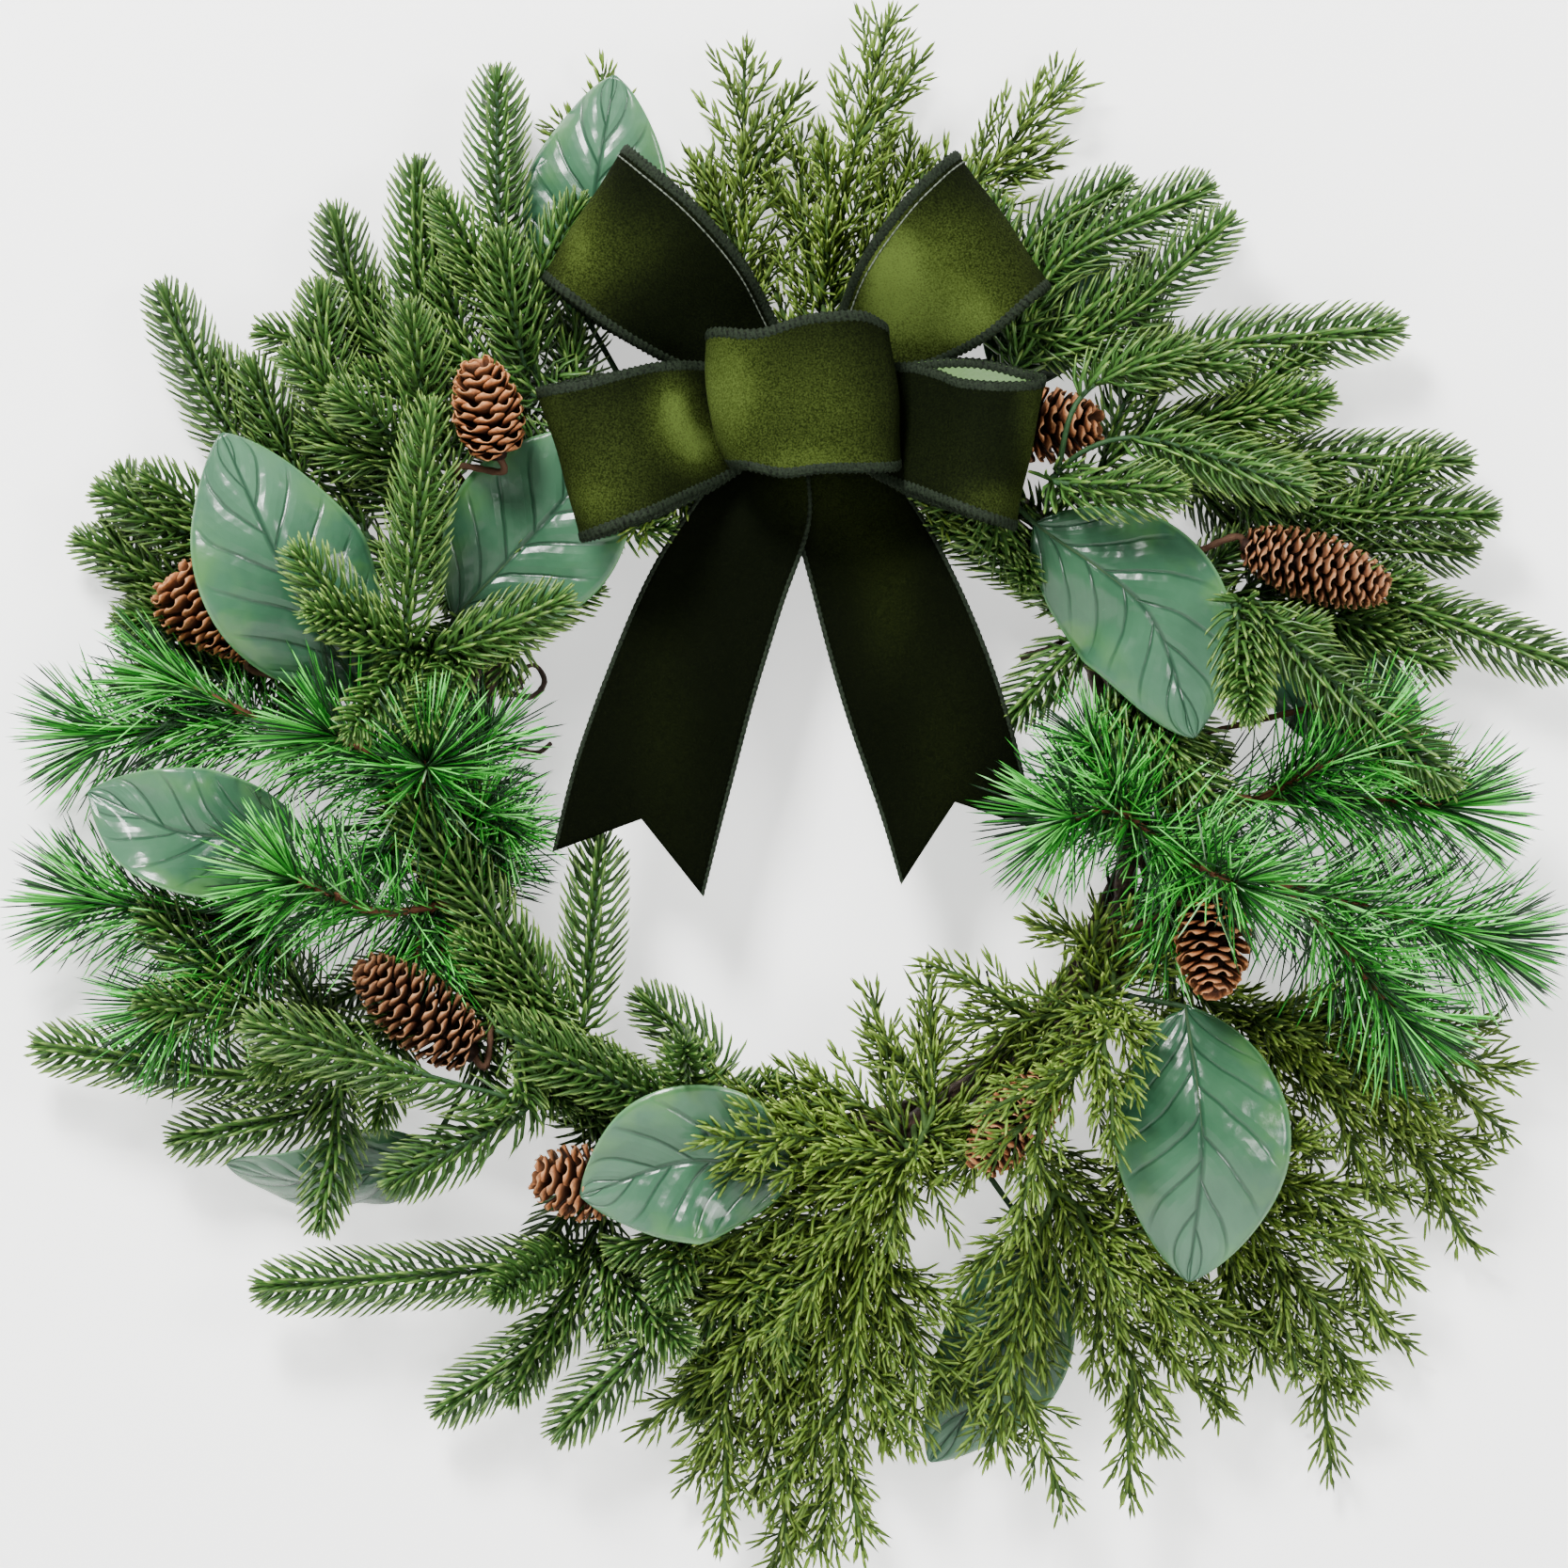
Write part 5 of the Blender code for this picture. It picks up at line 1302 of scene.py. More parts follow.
# Each vine: its laps of the ring, its reach from the ring's middle line, its girth, its twists in one lap,
# the roll that it starts at, the phase and the size of its wobble, and its sides.
VINE_STEPS = 260
VINES = (
    (3, 9.0, 4.6, 7 / 3, 0.5, 0.0, 0.0, 9),
    (1, 9.6, 3.0, 3.0, 1.0, 1.0, 0.8, 7),
    (1, 10.0, 2.6, -4.0, 3.3, 3.3, 0.8, 7),
    (1, 10.6, 2.2, 5.0, 5.0, 5.0, 0.8, 7),
    (1, 10.4, 2.4, -3.0, 0.4, 0.4, 0.8, 7),
    (1, 11.2, 1.7, 6.0, 2.6, 2.6, 0.8, 7),
)
TENDRILS = (
    (
        (-126, 66, 20), (-121, 47, 22), (-109, 42, 18), (-103, 48, 15), (-107, 55, 13), (-113, 52, 16),
        (-112, 45, 19),
    ),
    ((-134, 8, 20), (-118, 20, 22), (-106, 19, 22), (-100, 23, 24)),
    ((-132, 70, 22), (-122, 62, 24), (-116, 50, 26), (-119, 40, 28)),
    ((86, 92, 16), (94, 88, 20), (112, 84, 22)),
    ((92, 58, 18), (104, 62, 20), (122, 72, 20)),
    ((-60, -122, 22), (-40, -126, 28), (-20, -133, 29), (6, -140, 30)),
    ((116, -78, 24), (127, -58, 28), (133, -36, 28), (137, -10, 27)),
)
PAPER_WIRES = (
    ((127, -26, 25), (128, -34, 24), (131, -43, 22), (134, -52, 19)),
    ((78, -70, 24), (80, -78, 24), (84, -87, 22), (91, -101, 19)),
)


def dress_ring(draw):
    """The twisted vines, their loose ends, and the paper wires that hold them."""
    bag = Bag()
    for laps, reach, girth, twist, roll, phase, wobble, sides in VINES:
        angle = np.linspace(0, 2 * math.pi * laps, VINE_STEPS * laps, endpoint=False)
        phi = twist * angle + roll
        radius = reach + wobble * np.sin(angle * 5 + phase)
        out = RING_RADIUS + radius * np.cos(phi)
        path = np.stack(
            (out * np.cos(angle), -(RING_DEPTH + radius * np.sin(phi)), out * np.sin(angle)), axis=1
        )
        tangent = unit_rows(np.roll(path, -1, axis=0) - np.roll(path, 1, axis=0))
        side = unit_rows(np.cross(tangent, (0.0, 1.0, 0.0)))
        front = np.cross(side, tangent)
        around = np.arange(sides) * 2 * math.pi / sides
        number = np.arange(len(path))
        knobs = 1 + 0.07 * np.sin(number * 0.35 + phase) + 0.05 * draw.standard_normal(len(path))
        ridge = 1 + 0.06 * np.sin(3 * around[None] + number[:, None] * 0.12)
        shape = np.cos(around)[None, :, None] * side[:, None] + np.sin(around)[None, :, None] * front[:, None]
        points = path[:, None] + (girth * knobs[:, None] * ridge)[..., None] * shape
        faces = grid_faces(len(path) + 1, sides, closed=True) % (len(path) * sides)
        bag.add(points.reshape(-1, 3), faces, draw.random(), draw.random(), 0)
    for kind, strands, ends in ((0, TENDRILS, (1.5, 0.9)), (1, PAPER_WIRES, (0.6, 0.7))):
        for strand in strands:
            path = smooth_path([place(*point) for point in strand], spacing=1.6)
            girth = np.interp(np.arange(len(path)), (0, len(path) - 1), ends)
            girth = girth * (1 + 0.1 * draw.standard_normal(len(path)))
            bag.add_tube(path, girth, 6, draw.random(), 0.7, kind)
    return bag


# Ribbons.


def ribbon_sheet(grid, draw, wave):
    """Fine ribbon: the middle surface with soft waves, away from its narrow waist, and its normals."""
    rows, columns = grid.shape[:2]
    normal = normals_of(grid)
    wide = np.linalg.norm(grid[:, -1] - grid[:, 0], axis=1)
    room = np.clip((wide - 26.0) / 30.0, 0, 1)[:, None]
    s = np.linspace(0, 1, rows)[:, None]
    v = np.linspace(-1, 1, columns)[None]
    a, b, c = draw.uniform(0, 6, 3)
    wavy = np.sin(s * 41 + v * 1.3 + a) * 0.5 + np.sin(s * 23 - v * 2.2 + b) * 0.6
    wavy = wavy + np.sin(v * 5 + s * 9 + c) * 0.35
    return grid + normal * (wavy * wave * room)[..., None], normal


def bump_at(values, middle, reach):
    return np.exp(-(((values - middle) / reach) ** 2))


def settled(node, grid):
    """Lets the soft edges of the loops dip, and draws in the centre loop's corners."""
    grid = grid.copy()
    v = np.linspace(-1, 1, grid.shape[1])[None]
    x, depth = grid[..., 0].copy(), -grid[..., 1]
    top, low = ((1 + v) / 2) ** 2, ((1 - v) / 2) ** 3
    if node == "ribbon_centre_loop":
        grid[..., 2] -= top * (6.0 * bump_at(x, -16, 16) - 2.0 * bump_at(x, 30, 14))
        grid[..., 2] += low * (1.5 * bump_at(x, -30, 12) - 2.0 * bump_at(x, -4, 10))
        grid[..., 0] += 10.0 * low * bump_at(x, -38, 14) - 5.5 * top * bump_at(x, 42, 12)
        grid[..., 1] += 4.0 * low * bump_at(x, -32, 16)
    if node == "ribbon_tails":
        rows = grid.shape[0]
        left = np.arange(rows)[:, None] < rows / 2
        inner = ((1 + v) / 2) ** 1.5
        grid[..., 0] += np.where(left, 4.5, -7.0) * inner * bump_at(grid[..., 2], 116, 26)
    if node == "ribbon_loops_lower":
        front = np.clip((depth - 62) / 12, 0, 1) * top
        grid[..., 2] -= front * (6.5 * bump_at(x, 74, 24) + 3.0 * bump_at(x, -84, 20))
        ridge = bump_at(x + 0.55 * (grid[..., 2] - 148), -52, 7) * np.clip((depth - 62) / 12, 0, 1)
        grid[..., 1] -= 2.5 * ridge * (1 - v**2)
    return grid


def add_roll(bag, centre, inward, up, wide, high, sides, swell, tone, kind):
    """Adds a roll of thread with an oval section along the centre line, swollen by its stitches."""
    around = np.arange(sides) * 2 * math.pi / sides
    shape = inward[:, None] * (np.cos(around) * wide)[None, :, None]
    shape = shape + up[:, None] * (np.sin(around) * high)[None, :, None]
    points = (centre[:, None] + shape * swell[..., None]).reshape(-1, 3)
    tone = np.broadcast_to(tone, (len(centre), sides)).ravel()
    bag.add(points, grid_faces(len(centre), sides, closed=True), tone, 0.5, kind)


def edging_bag(grid, corded, reach):
    """The overlocked edges: a flat roll of thread along each side with a slanted ridge for every stitch, and
    two thin beaded cords beside the second side of a corded ribbon."""
    bag = Bag()
    for column, inner in ((0, 1), (-1, -2)):
        edge = grid[:, column]
        travelled = distances_along(edge)
        steps = np.linspace(0, travelled[-1], int(travelled[-1] / 0.9))
        path = read_at(steps, travelled, edge)
        inward = unit_rows(read_at(steps, travelled, unit_rows(grid[:, inner] - edge)))
        up = unit_rows(np.cross(unit_rows(np.gradient(path, axis=0)), inward))
        slant = steps[:, None] * 2 * math.pi / 2.6 + np.cos(np.arange(6) * 2 * math.pi / 6)[None] * 1.8
        ridge = np.sin(slant)
        centre = path + inward * (reach - 0.9)
        # The tone marks each stitch's crest, where the thread gets a painted highlight.
        add_roll(bag, centre, inward, up, reach, 0.95, 6, 1 + 0.16 * ridge, 0.5 + 0.5 * ridge, 0)
        if corded and column < 0:
            # The beads' crests get a painted highlight too.
            beads = 0.5 + 0.5 * np.sin(steps * 2 * math.pi / 3.0)[:, None]
            for height in (0.60, -0.60):
                centre = path + inward * 5.0 + up * height
                add_roll(bag, centre, inward, up, 0.34, 0.30, 4, 0.7 + 0.5 * beads, beads, 1)
    return bag


# Materials.

LEAF_VEINS = 6.0


class Nodes:
    """Short calls for building one material's nodes."""

    def __init__(self, name):
        self.material = bpy.data.materials.new(name)
        self.material.use_nodes = True
        self.tree = self.material.node_tree
        self.shader = self.tree.nodes["Principled BSDF"]

    def put(self, node, key, value):
        """Sets or links an input, by its number, or by its name with underscores for spaces."""
        socket = node.inputs[key.replace("_", " ") if isinstance(key, str) else key]
        if isinstance(value, bpy.types.NodeSocket):
            self.tree.links.new(value, socket)
        else:
            socket.default_value = (*value, 1.0) if socket.type == "RGBA" else value

    def new(self, kind, **inputs):
        node = self.tree.nodes.new("ShaderNode" + kind)
        for key, value in inputs.items():
            self.put(node, key, value)
        return node

    def attribute(self, name):
        node = self.new("Attribute")
        node.attribute_name = name
        return node.outputs["Fac"]

    def noise(self, scale, detail=3.0, rough=0.55):
        where = self.new("TexCoord").outputs["Object"]
        return self.new("TexNoise", Vector=where, Scale=scale, Detail=detail, Roughness=rough).outputs["Fac"]

    def ramp(self, value, *stops):
        node = self.new("ValToRGB", Fac=value)
        elements = node.color_ramp.elements
        while len(elements) < len(stops):
            elements.new(0.5)
        for element, (where, colour) in zip(elements, stops):
            element.position = where
            element.color = (*colour, 1.0) if isinstance(colour, tuple) else (colour, colour, colour, 1.0)
        return node.outputs["Color"]

    def maths(self, what, a, b=0.0):
        node = self.new("Math")
        node.operation = what
        self.put(node, 0, a)
        self.put(node, 1, b)
        return node.outputs[0]

    def times(self, a, b):
        return self.maths("MULTIPLY", a, b)

    def plus(self, a, b):
        return self.maths("ADD", a, b)

    def mix(self, share, a, b):
        node = self.new("Mix")
        node.data_type = "RGBA"
        for key, value in ((0, share), (6, a), (7, b)):
            self.put(node, key, value)
        return node.outputs[2]

    def bump(self, height, strength, distance):
        node = self.new("Bump", Strength=strength, Distance=distance, Height=height)
        self.put(self.shader, "Normal", node.outputs["Normal"])

    def finish(self, colour, roughness, **constants):
        for key, value in {"Base_Color": colour, "Roughness": roughness, **constants}.items():
            self.put(self.shader, key, value)
        return self.material


def needle_material(name, root, body, tip, dark, light_share, roughness, grain, shine):
    """Moulded needles: darker at the root by painted shade, paler at the tip, and no two quite alike."""
    n = Nodes(name)
    tone = n.attribute("tone")
    chance = n.attribute("chance")
    # Painted shade: the root colour is near black, where the needles crowd inside the plume.
    along = n.ramp(tone, (0.0, root), (0.30, body), (0.70, body), (1.0, tip))
    patch = n.noise(28.0, 2.0)
    # The dark colour is mixed in by the chance, which carries painted shade, and by noise patches.
    share = n.times(n.plus(chance, n.times(patch, 0.8)), light_share)
    colour = n.mix(share, along, dark)
    speck = n.noise(grain, 3.0)
    colour = n.mix(n.times(speck, 0.14), colour, tip)
    n.bump(speck, 0.25, 0.0003)
    return n.finish(
        colour,
        n.plus(n.times(speck, 0.25), roughness - 0.12),
        Specular_IOR_Level=shine,
    )


def pine_material():
    """Long straight needles cut from film of two colours, bright green and black-green, with painted shade
    towards their roots.
    """
    n = Nodes("pine_needles")
    chance = n.attribute("chance")
    tone = n.attribute("tone")
    kind = n.ramp(
        chance,
        (0.0, (0.002, 0.009, 0.005)),
        (0.35, (0.003, 0.018, 0.007)),
        (0.42, (0.005, 0.095, 0.006)),
        (0.60, (0.016, 0.230, 0.012)),
        (0.72, (0.070, 0.480, 0.050)),
        (0.93, (0.170, 0.740, 0.130)),
        (1.0, (0.280, 0.420, 0.260)),
    )
    # Painted shade: each needle darkens towards its root, inside the bundle.
    colour = n.mix(n.ramp(tone, (0.0, 0.60), (0.5, 0.0), (1.0, 0.0)), kind, (0.003, 0.018, 0.004))
    streak = n.noise(900.0, 1.0)
    colour = n.mix(n.times(streak, 0.08), colour, (0.16, 0.42, 0.12))
    n.bump(streak, 0.15, 0.0002)
    return n.finish(colour, n.plus(n.times(streak, 0.15), 0.32), Specular_IOR_Level=0.22)


def stem_material(name, colour, other, grain, rough):
    n = Nodes(name)
    bark = n.noise(grain, 5.0, 0.65)
    ring = n.noise(grain * 0.3, 2.0)
    mixed = n.mix(n.ramp(bark, (0.3, 0.0), (0.7, 1.0)), colour, other)
    mixed = n.mix(n.times(ring, 0.4), mixed, tuple(c * 0.5 for c in colour))
    n.bump(bark, 0.6, 0.0006)
    return n.finish(mixed, n.plus(n.times(bark, 0.2), rough), Specular_IOR_Level=0.15)


def leaf_material():
    """A waxy blue-green blade with fine sunken veins, cloudy patches and a thin pale edge, with painted shade
    in the veins and towards the stalk, and a painted sheen towards the tip.
    """
    n = Nodes("magnolia_blade")
    along = n.attribute("tone")
    across = n.attribute("chance")
    off = n.maths("ABSOLUTE", across)
    cloud = n.noise(22.0, 3.0, 0.5)
    dent = n.noise(70.0, 2.0, 0.5)
    fine = n.noise(300.0, 4.0, 0.6)
    lag = n.times(n.maths("POWER", off, 0.85), 0.30)
    stagger = n.times(n.maths("GREATER_THAN", across, 0.0), 0.42)
    run = n.times(n.maths("SUBTRACT", along, lag), LEAF_VEINS)
    run = n.plus(n.plus(run, stagger), n.times(cloud, 0.5))
    near = n.maths("ABSOLUTE", n.maths("SUBTRACT", run, n.maths("ROUND", run)))
    vein = n.ramp(near, (0.0, 1.0), (0.035, 0.75), (0.075, 0.0))
    vein = n.times(vein, n.ramp(off, (0.02, 1.0), (0.70, 0.6), (0.96, 0.0)))
    midrib = n.ramp(off, (0.0, 1.0), (0.022, 0.7), (0.05, 0.0))
    vein = n.maths("MAXIMUM", vein, midrib)
    rim = n.ramp(off, (0.955, 0.0), (0.985, 1.0))
    base = n.mix(n.ramp(cloud, (0.32, 0.0), (0.68, 1.0)), (0.012, 0.048, 0.024), (0.032, 0.098, 0.048))
    sunny = n.times(n.ramp(off, (0.45, 0.0), (0.95, 0.8)), n.ramp(dent, (0.45, 0.0), (0.65, 1.0)))
    base = n.mix(sunny, base, (0.052, 0.140, 0.028))
    base = n.mix(n.times(fine, 0.25), base, (0.036, 0.120, 0.058))
    # Painted shade towards the stalk.
    base = n.mix(n.ramp(along, (0.12, 0.42), (0.52, 0.0)), base, (0.005, 0.019, 0.008))
    # Painted sheen towards the tip: a paler, greyer green.
    base = n.mix(n.ramp(along, (0.45, 0.0), (0.85, 0.36)), base, (0.090, 0.185, 0.118))
    # Painted shade in the sunken veins and the midrib.
    base = n.mix(n.times(vein, 0.8), base, (0.004, 0.020, 0.010))
    base = n.mix(n.times(rim, 0.7), base, (0.09, 0.22, 0.09))
    height = n.plus(n.times(cloud, 0.9), n.times(fine, 0.05))
    height = n.plus(height, n.times(dent, 0.75))
    pillow = n.ramp(near, (0.0, 0.0), (0.28, 0.85), (0.5, 1.0))
    height = n.plus(height, n.times(pillow, n.ramp(off, (0.6, 0.45), (0.95, 0.0))))
    height = n.maths("SUBTRACT", height, n.times(vein, 0.34))
    n.bump(height, 0.60, 0.0032)
    return n.finish(
        base,
        n.plus(n.times(fine, 0.14), 0.17),
        Specular_IOR_Level=0.30,
        Coat_Weight=0.22,
        Coat_Roughness=0.08,
    )


def cone_material():
    """Dry woody scales: near black towards their hidden feet by painted shade, tan or grey-brown on the
    weathered lips, with fine lengthways fibre.
    """
    n = Nodes("cone_scales")
    tone = n.attribute("tone")
    chance = n.attribute("chance")
    # Low tones are painted shade, high tones the light wood of the lips.
    red = n.ramp(
        tone,
        (0.0, (0.006, 0.002, 0.001)),
        (0.60, (0.034, 0.009, 0.003)),
        (0.80, (0.130, 0.036, 0.010)),
        (0.93, (0.460, 0.155, 0.047)),
        (1.0, (0.680, 0.310, 0.125)),
    )
    grey = n.ramp(
        tone,
        (0.0, (0.006, 0.003, 0.002)),
        (0.62, (0.028, 0.011, 0.005)),
        (0.82, (0.085, 0.036, 0.016)),
        (0.94, (0.250, 0.124, 0.060)),
        (1.0, (0.430, 0.255, 0.140)),
    )
    fibre = n.noise(520.0, 5.0, 0.7)
    blotch = n.noise(90.0, 3.0)
    colour = n.mix(chance, red, grey)
    colour = n.mix(n.ramp(fibre, (0.35, 0.60), (0.65, 0.0)), colour, (0.030, 0.010, 0.005))
    colour = n.mix(n.times(n.ramp(blotch, (0.45, 0.0), (0.75, 0.35)), tone), colour, (0.24, 0.12, 0.06))
    n.bump(fibre, 0.7, 0.0008)
    return n.finish(colour, n.plus(n.times(fibre, 0.2), 0.55), Specular_IOR_Level=0.15)


def bark_material():
    """Twisted vine bark: dark, stringy, with lighter worn strands."""
    n = Nodes("vine_bark")
    chance = n.attribute("chance")
    string = n.noise(170.0, 6.0, 0.7)
    band = n.noise(38.0, 3.0)
    colour = n.ramp(
        string, (0.30, (0.010, 0.005, 0.003)), (0.52, (0.045, 0.021, 0.012)), (0.72, (0.120, 0.068, 0.042))
    )
    colour = n.mix(n.times(chance, 0.5), colour, (0.030, 0.014, 0.008))
    colour = n.mix(n.times(band, 0.4), colour, (0.016, 0.008, 0.005))
    n.bump(string, 0.9, 0.002)
    return n.finish(colour, 0.82)


def velvet_material(name, deep, lit, bright):
    """Velvet: a deep pile lit by painted highlights in patches, with painted glints as a fine sparkle."""
    n = Nodes(name)
    patch = n.noise(34.0, 3.0, 0.55)
    pile = n.noise(1300.0, 2.0, 0.6)
    # Painted highlight: the tone lifts the pile from deep to lit, varied by noise patches.
    painted_sheen = n.attribute("tone")
    share = n.times(painted_sheen, n.plus(n.times(patch, 0.9), 0.55))
    colour = n.mix(n.maths("MINIMUM", share, 1.0), deep, lit)
    # Painted glints: fine specks of the bright colour, more of them where the painted highlight is strong.
    sparkle = n.times(n.ramp(pile, (0.40, 0.05), (0.80, 1.0)), n.plus(share, 0.03))
    colour = n.mix(n.maths("MINIMUM", sparkle, 1.0), colour, bright)
    # Painted highlight at its strongest turns towards a brighter colour still.
    flare = n.times(n.maths("MAXIMUM", n.maths("SUBTRACT", share, 0.75), 0.0), 0.75)
    colour = n.mix(n.maths("MINIMUM", flare, 0.9), colour, tuple(c * 1.5 for c in bright))
    colour = n.mix(n.ramp(pile, (0.26, 0.40), (0.46, 0.0)), colour, tuple(c * 0.5 for c in deep))
    n.bump(pile, 0.5, 0.0006)
    return n.finish(
        colour,
        0.85,
        Specular_IOR_Level=0.02,
        Sheen_Weight=0.02,
        Sheen_Roughness=0.30,
        Sheen_Tint=bright,
    )


def satin_material():
    """The ribbon's back: a close satin weave, lighter and smoother than the pile."""
    n = Nodes("satin_back")
    weave = n.noise(900.0, 2.0)
    slub = n.noise(30.0, 3.0)
    colour = n.mix(n.ramp(slub, (0.3, 0.0), (0.7, 1.0)), (0.036, 0.090, 0.018), (0.066, 0.140, 0.032))
    colour = n.mix(n.times(weave, 0.25), colour, (0.110, 0.200, 0.065))
    n.bump(weave, 0.25, 0.0004)
    return n.finish(colour, n.plus(n.times(weave, 0.15), 0.42), Specular_IOR_Level=0.3)


def thread_material(name, colour, other, rough):
    n = Nodes(name)
    twist = n.noise(1100.0, 2.0)
    mixed = n.mix(n.ramp(twist, (0.35, 0.0), (0.65, 1.0)), colour, other)
    # Painted highlight: the crest of each stitch and bead takes the lighter thread colour.
    mixed = n.mix(n.maths("POWER", n.attribute("tone"), 2.0), mixed, other)
    n.bump(twist, 0.6, 0.0005)
    return n.finish(mixed, rough, Specular_IOR_Level=0.06)


def wire_material():
    n = Nodes("green_wire")
    lacquer = n.noise(600.0, 3.0)
    colour = n.mix(n.ramp(lacquer, (0.4, 0.0), (0.7, 1.0)), (0.018, 0.035, 0.020), (0.050, 0.075, 0.045))
    n.bump(lacquer, 0.3, 0.0003)
    return n.finish(colour, n.plus(n.times(lacquer, 0.2), 0.3), Metallic=0.6)


def stage_material(name, colour, one_sided=False, glow=0.0):
    """Plain matt paint, faintly uneven. One-sided paint shows on its front only."""
    n = Nodes(name)
    shade = n.mix(n.times(n.noise(3.0, 2.0), 0.25), colour, tuple(c * 0.95 for c in colour))
    if one_sided:
        choose = n.new("MixShader")
        n.put(choose, 0, n.new("NewGeometry").outputs["Backfacing"])
        n.put(choose, 1, n.shader.outputs[0])
        n.put(choose, 2, n.new("BsdfTransparent").outputs[0])
        n.put(n.tree.nodes["Material Output"], "Surface", choose.outputs[0])
    return n.finish(shade, 0.9, Emission_Color=colour, Emission_Strength=glow, Specular_IOR_Level=0.1)


# The stage: wall, floor, lights and camera.


def add_flat(name, corners, material):
    mesh = bpy.data.meshes.new(name)
    mesh.from_pydata(corners, [], [(0, 1, 2, 3)])
    mesh.materials.append(material)
    flat = bpy.data.objects.new(name, mesh)
    bpy.context.scene.collection.objects.link(flat)


# The view: its middle in metres, its width in millimetres at its depth, and the camera's distance and sensor.
VIEW_MIDDLE = (-0.0048, 0.0, -0.1229)
VIEW_WIDTH = 637.6275
VIEW_DEPTH = 40.0
CAMERA_DISTANCE = 3.0
SENSOR = 36.0
FLOOR_Z = -0.62


def add_light(name, where, energy, size):
    """A square soft light that looks at the middle of the view."""
    data = bpy.data.lights.new(name, "AREA")
    data.energy = energy
    data.shape = "RECTANGLE"
    data.size = size
    data.size_y = size
    lamp = bpy.data.objects.new(name, data)
    lamp.location = where
    lamp.rotation_euler = (Vector(VIEW_MIDDLE) - Vector(where)).to_track_quat("-Z", "Y").to_euler()
    bpy.context.scene.collection.objects.link(lamp)


def make_stage():
    """A wall behind the ring, a floor, soft lights and the camera."""
    wall_y = (RING_DEPTH + 1.0) * MM
    wall = stage_material("wall_paint", (0.94, 0.94, 0.93), True, 0.9)
    floor = stage_material("floor_paint", (0.66, 0.66, 0.65))
    add_flat("wall", [(-4, wall_y, FLOOR_Z), (4, wall_y, FLOOR_Z), (4, wall_y, 4), (-4, wall_y, 4)], wall)
    add_flat("floor", [(-4, -6, FLOOR_Z), (4, -6, FLOOR_Z), (4, 4, FLOOR_Z), (-4, 4, FLOOR_Z)], floor)
    add_light("key", (-0.7, -1.7, 1.5), 172, 0.65)
    add_light("fill", (1.5, -1.7, 0.3), 34, 0.6)
    add_light("back_fill", (1.2, 2.2, 1.4), 50, 1.4)
    world = bpy.data.worlds.new("soft_room")
    bpy.context.scene.world = world
    world.use_nodes = True
    background = world.node_tree.nodes["Background"]
    background.inputs["Color"].default_value = (1.0, 1.0, 1.0, 1.0)
    background.inputs["Strength"].default_value = 0.30
    data = bpy.data.cameras.new("camera")
    data.sensor_fit = "HORIZONTAL"
    data.sensor_width = SENSOR
    data.lens = SENSOR * CAMERA_DISTANCE / (VIEW_WIDTH * MM)
    data.clip_end = 50.0
    camera = bpy.data.objects.new("camera", data)
    camera.location = (VIEW_MIDDLE[0], (RING_DEPTH - VIEW_DEPTH) * MM - CAMERA_DISTANCE, VIEW_MIDDLE[2])
    camera.rotation_euler = (math.pi / 2, 0.0, 0.0)
    bpy.context.scene.collection.objects.link(camera)
    bpy.context.scene.camera = camera


# Dressing.


# Painted highlights and sheen on the velvet: x, z, the spot's radius along x and z, and its strength.
PAINTED_HIGHLIGHT_SPOTS = {
    "ribbon_loops_upper": (
        (-90, 234, 11, 40, 0.80),
        (-70, 222, 18, 14, 0.22),
        (-84, 212, 14, 12, 0.25),
        (38, 208, 12, 22, 1.70),
        (58, 214, 26, 24, 0.80),
        (70, 192, 22, 14, 0.95),
        (96, 236, 12, 22, 0.40),
    ),
    "ribbon_loops_lower": (
        (-78, 138, 28, 24, 0.38),
        (-50, 156, 8, 12, 1.30),
        (-40, 142, 9, 9, 1.20),
        (-84, 118, 20, 10, 0.50),
        (-100, 150, 7, 24, 0.30),
        (96, 140, 6, 40, 0.55),
        (84, 118, 16, 8, 0.50),
        (60, 136, 20, 16, 0.05),
    ),
    "ribbon_centre_loop": (
        (-30, 164, 15, 36, 0.95),
        (-4, 158, 26, 30, 0.50),
        (22, 154, 16, 24, 0.30),
        (4, 134, 28, 8, 0.60),
    ),
    "ribbon_tails": (
        (2, 130, 14, 14, 0.45),
        (24, 118, 16, 20, 0.45),
        (38, 84, 12, 30, 0.30),
        (-54, 30, 14, 50, 0.10),
        (60, 20, 14, 40, 0.14),
    ),
}


def painted_highlight_at(node, grid):
    """The painted highlight at each point."""
    glow = np.full(grid.shape[:2], 0.03)
    for x, z, wide, high, strength in PAINTED_HIGHLIGHT_SPOTS[node]:
        away = ((grid[..., 0] - x) / wide) ** 2 + ((grid[..., 2] - z) / high) ** 2
        glow += strength * np.exp(-away)
    return np.minimum(glow, 1.7)


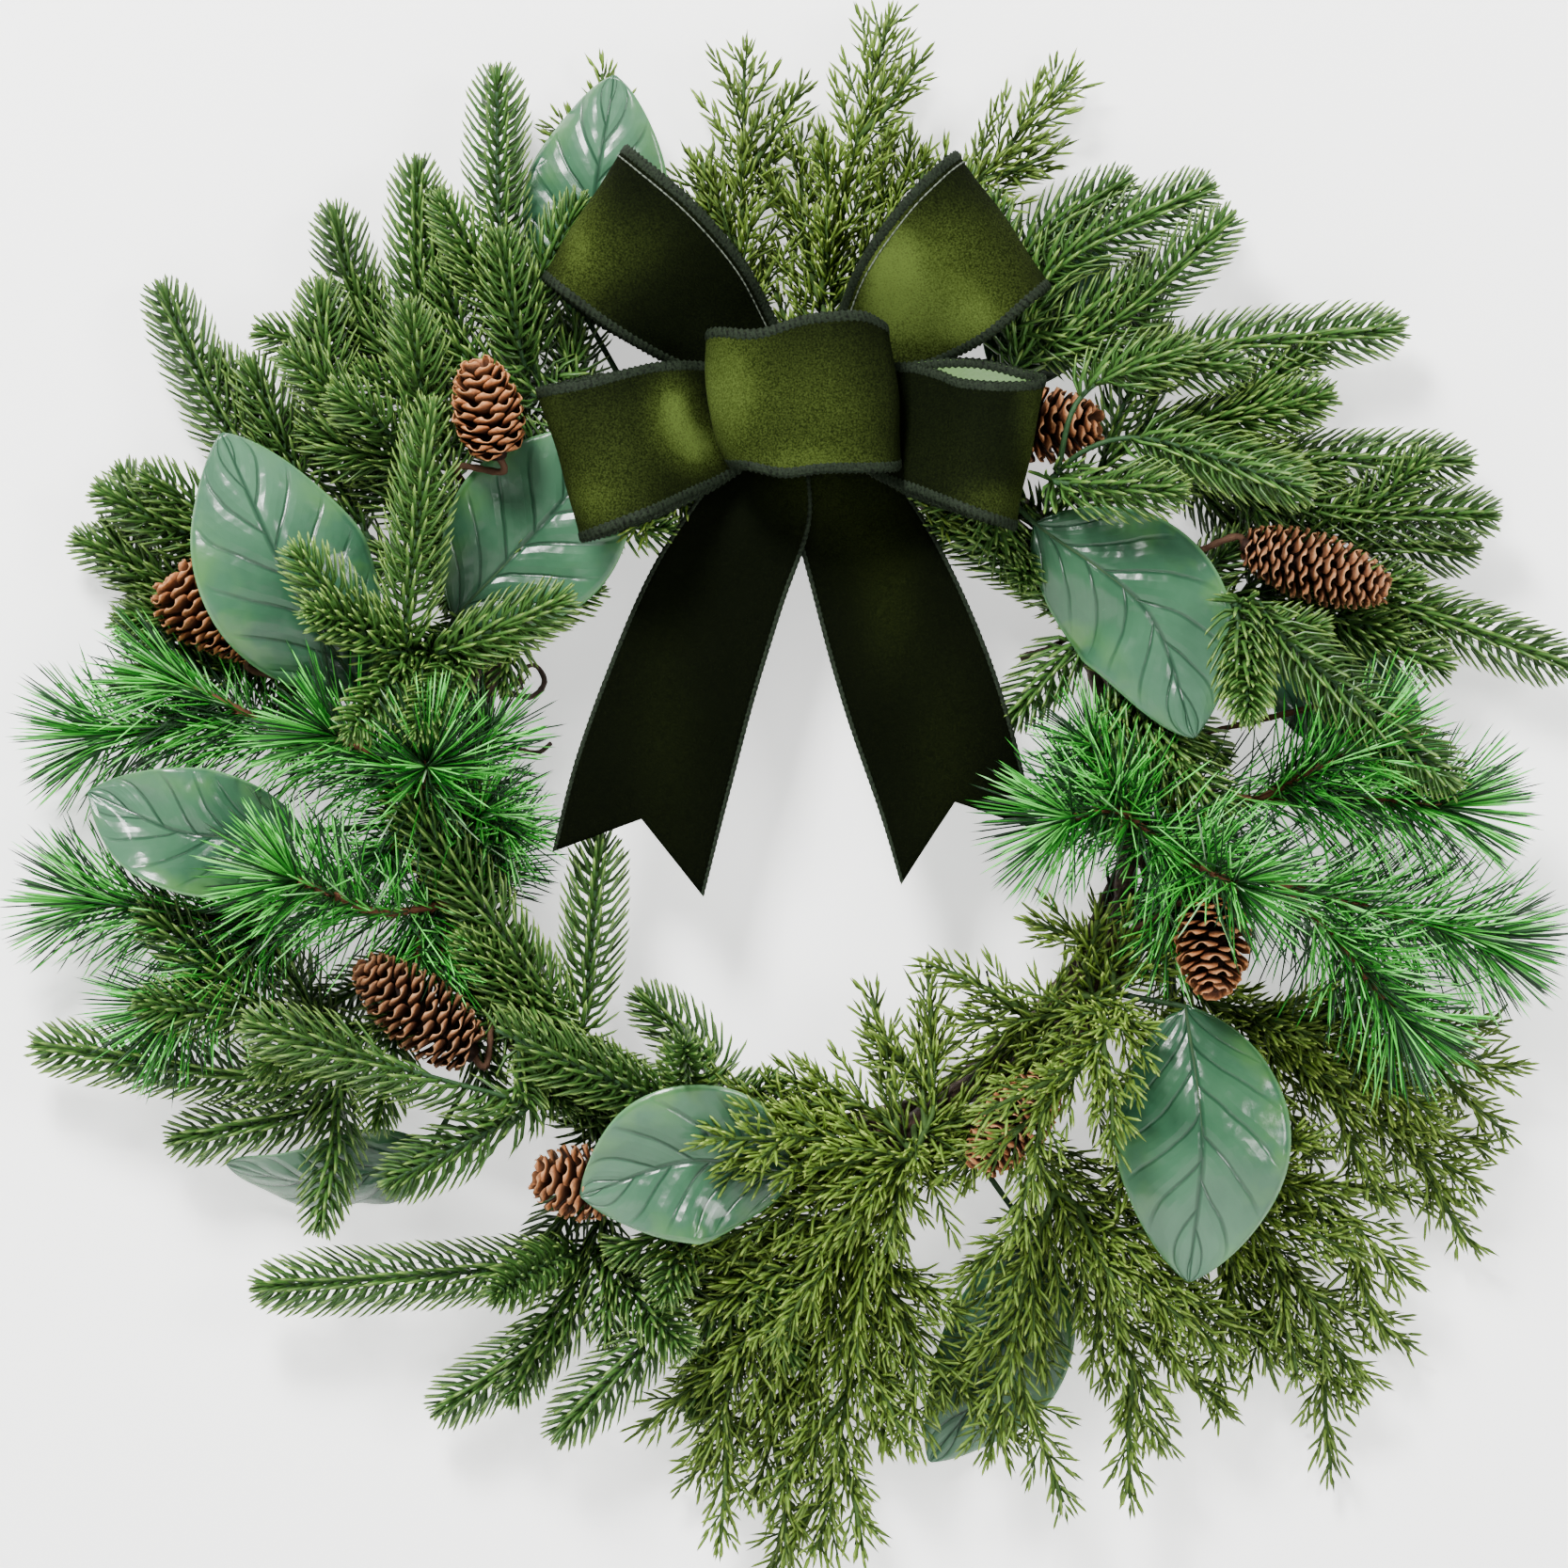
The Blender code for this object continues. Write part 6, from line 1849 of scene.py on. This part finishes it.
def dress_bow(materials, draw):
    """The four ribbons of the bow, each a sheet of velvet with its edging."""
    velvet, velvet_painted_shade, satin, edging, stitching = materials
    table = {
        "ribbon_loops_upper": (strip_grid(UPPER_LOOPS, 170, 23), 1.0),
        "ribbon_loops_lower": (strip_grid(LOWER_LOOPS, 170, 23), 1.0),
        "ribbon_tails": (strip_grid(TAILS, 150, 23), 1.0),
        "ribbon_centre_loop": (centre_loop_grid(90, 23), 0.8),
    }
    for node, (grid, wave) in table.items():
        tails = node == "ribbon_tails"
        grid, normal = ribbon_sheet(settled(node, grid), draw, wave)
        if tails:
            grid = tail_ends(grid)
        bag = Bag()
        kinds = (1, 0, 1) if node == "ribbon_centre_loop" else (0, 1, 0)
        # The tone of the velvet carries its painted highlight.
        bag.add_plate(grid, normal, 0.5, painted_highlight_at(node, grid), 0.5, kinds)
        bands = edging_bag(grid, node == "ribbon_loops_upper", 1.1 if tails else 2.5)
        trim = add_piece(node.replace("ribbon", "edging"), bands, [edging, stitching], "velvet")
        # The tails take the darker copy of the velvet on both sides: painted shade.
        sides = [velvet_painted_shade, velvet_painted_shade] if tails else [velvet, satin]
        sheet = add_piece(node.replace("ribbon", "velvet"), bag, sides, "velvet", node)


def tail_ends(grid):
    """Cuts the swallow-tail notch into both ends."""
    grid = grid.copy()
    reach = 22
    for part in (grid, grid[::-1]):
        path = part[:reach].copy()
        for j, v in enumerate(np.linspace(-1, 1, grid.shape[1])):
            steps = np.linspace((1 - abs(v)) * 8.5, reach - 1, reach)
            part[:reach, j] = read_at(steps, np.arange(reach), path[:, j])
    return grid


def main():
    """Dresses every solid. The tie wire keeps its shape and is given a finer material."""
    kinds = ("spruce", "cedar", "pine")
    solids = Solids([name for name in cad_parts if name.split("_")[0] not in kinds])
    draw = np.random.default_rng(20)
    spruce = [
        stem_material("spruce_stem", (0.012, 0.040, 0.014), (0.028, 0.068, 0.022), 300.0, 0.5),
        needle_material(
            "spruce_needles", (0.001, 0.008, 0.001), (0.036, 0.126, 0.020), (0.280, 0.440, 0.085),
            (0.002, 0.024, 0.005), 0.70, 0.36, 700.0, 0.28,
        ),
    ]
    cedar = [
        stem_material("cedar_stem", (0.020, 0.050, 0.010), (0.044, 0.088, 0.016), 300.0, 0.6),
        needle_material(
            "cedar_leaves", (0.003, 0.012, 0.001), (0.120, 0.230, 0.024), (0.500, 0.660, 0.120),
            (0.005, 0.026, 0.003), 0.70, 0.50, 900.0, 0.18,
        ),
    ]
    pine = [
        stem_material("pine_stem", (0.070, 0.026, 0.012), (0.130, 0.058, 0.028), 260.0, 0.7),
        pine_material(),
    ]
    cone = [
        cone_material(),
        stem_material("cone_twig", (0.045, 0.020, 0.011), (0.090, 0.048, 0.027), 240.0, 0.7),
    ]
    leaf = [
        leaf_material(),
        stem_material("leaf_stalk", (0.010, 0.032, 0.012), (0.024, 0.056, 0.018), 200.0, 0.5),
    ]
    vine = [
        bark_material(),
        stem_material("wire_paper", (0.004, 0.006, 0.004), (0.010, 0.014, 0.008), 500.0, 0.7),
    ]
    bow = [
        velvet_material("velvet", (0.0010, 0.0017, 0.0006), (0.010, 0.0155, 0.0022), (0.046, 0.068, 0.014)),
        # A darker copy of the velvet, for the tails: painted shade.
        velvet_material(
            "velvet_in_painted_shade", (0.0008, 0.0013, 0.0004), (0.005, 0.008, 0.001), (0.018, 0.026, 0.005)
        ),
        satin_material(),
        thread_material("overlock_thread", (0.0010, 0.0016, 0.0010), (0.012, 0.018, 0.010), 0.7),
        thread_material("stitching_thread", (0.004, 0.006, 0.004), (0.130, 0.150, 0.120), 0.45),
    ]
    tables = (
        ("spruce", SPRUCE, dress_spruce, spruce, "spruce"),
        ("cedar", CEDAR, dress_cedar, cedar, "cedar"),
        ("long_needle", LONG_NEEDLE, dress_pine, pine, "pine"),
    )
    limbs = relaxed_limbs({name: (kind, spec) for kind, table, *_ in tables for name, spec in table.items()})
    for _, table, dress, materials, finish in tables:
        for name, spec in table.items():
            add_piece(name + "_spray", dress(limbs[name], spec, solids, draw), materials, finish, name)
    for name, spec in LEAVES.items():
        add_piece(name + "_blade", dress_leaf(spec, draw), leaf, "leaf", name)
    for name, spec in CONES.items():
        add_piece(name + "_scales", dress_cone(name, spec, draw), cone, "cone", name)
    add_piece("twisted_vines", dress_ring(draw), vine, "vine", "grapevine_ring")
    dress_bow(bow, draw)
    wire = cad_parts["tie_wire"]
    wire.data.materials.clear()
    wire.data.materials.append(wire_material())


main()
make_stage()
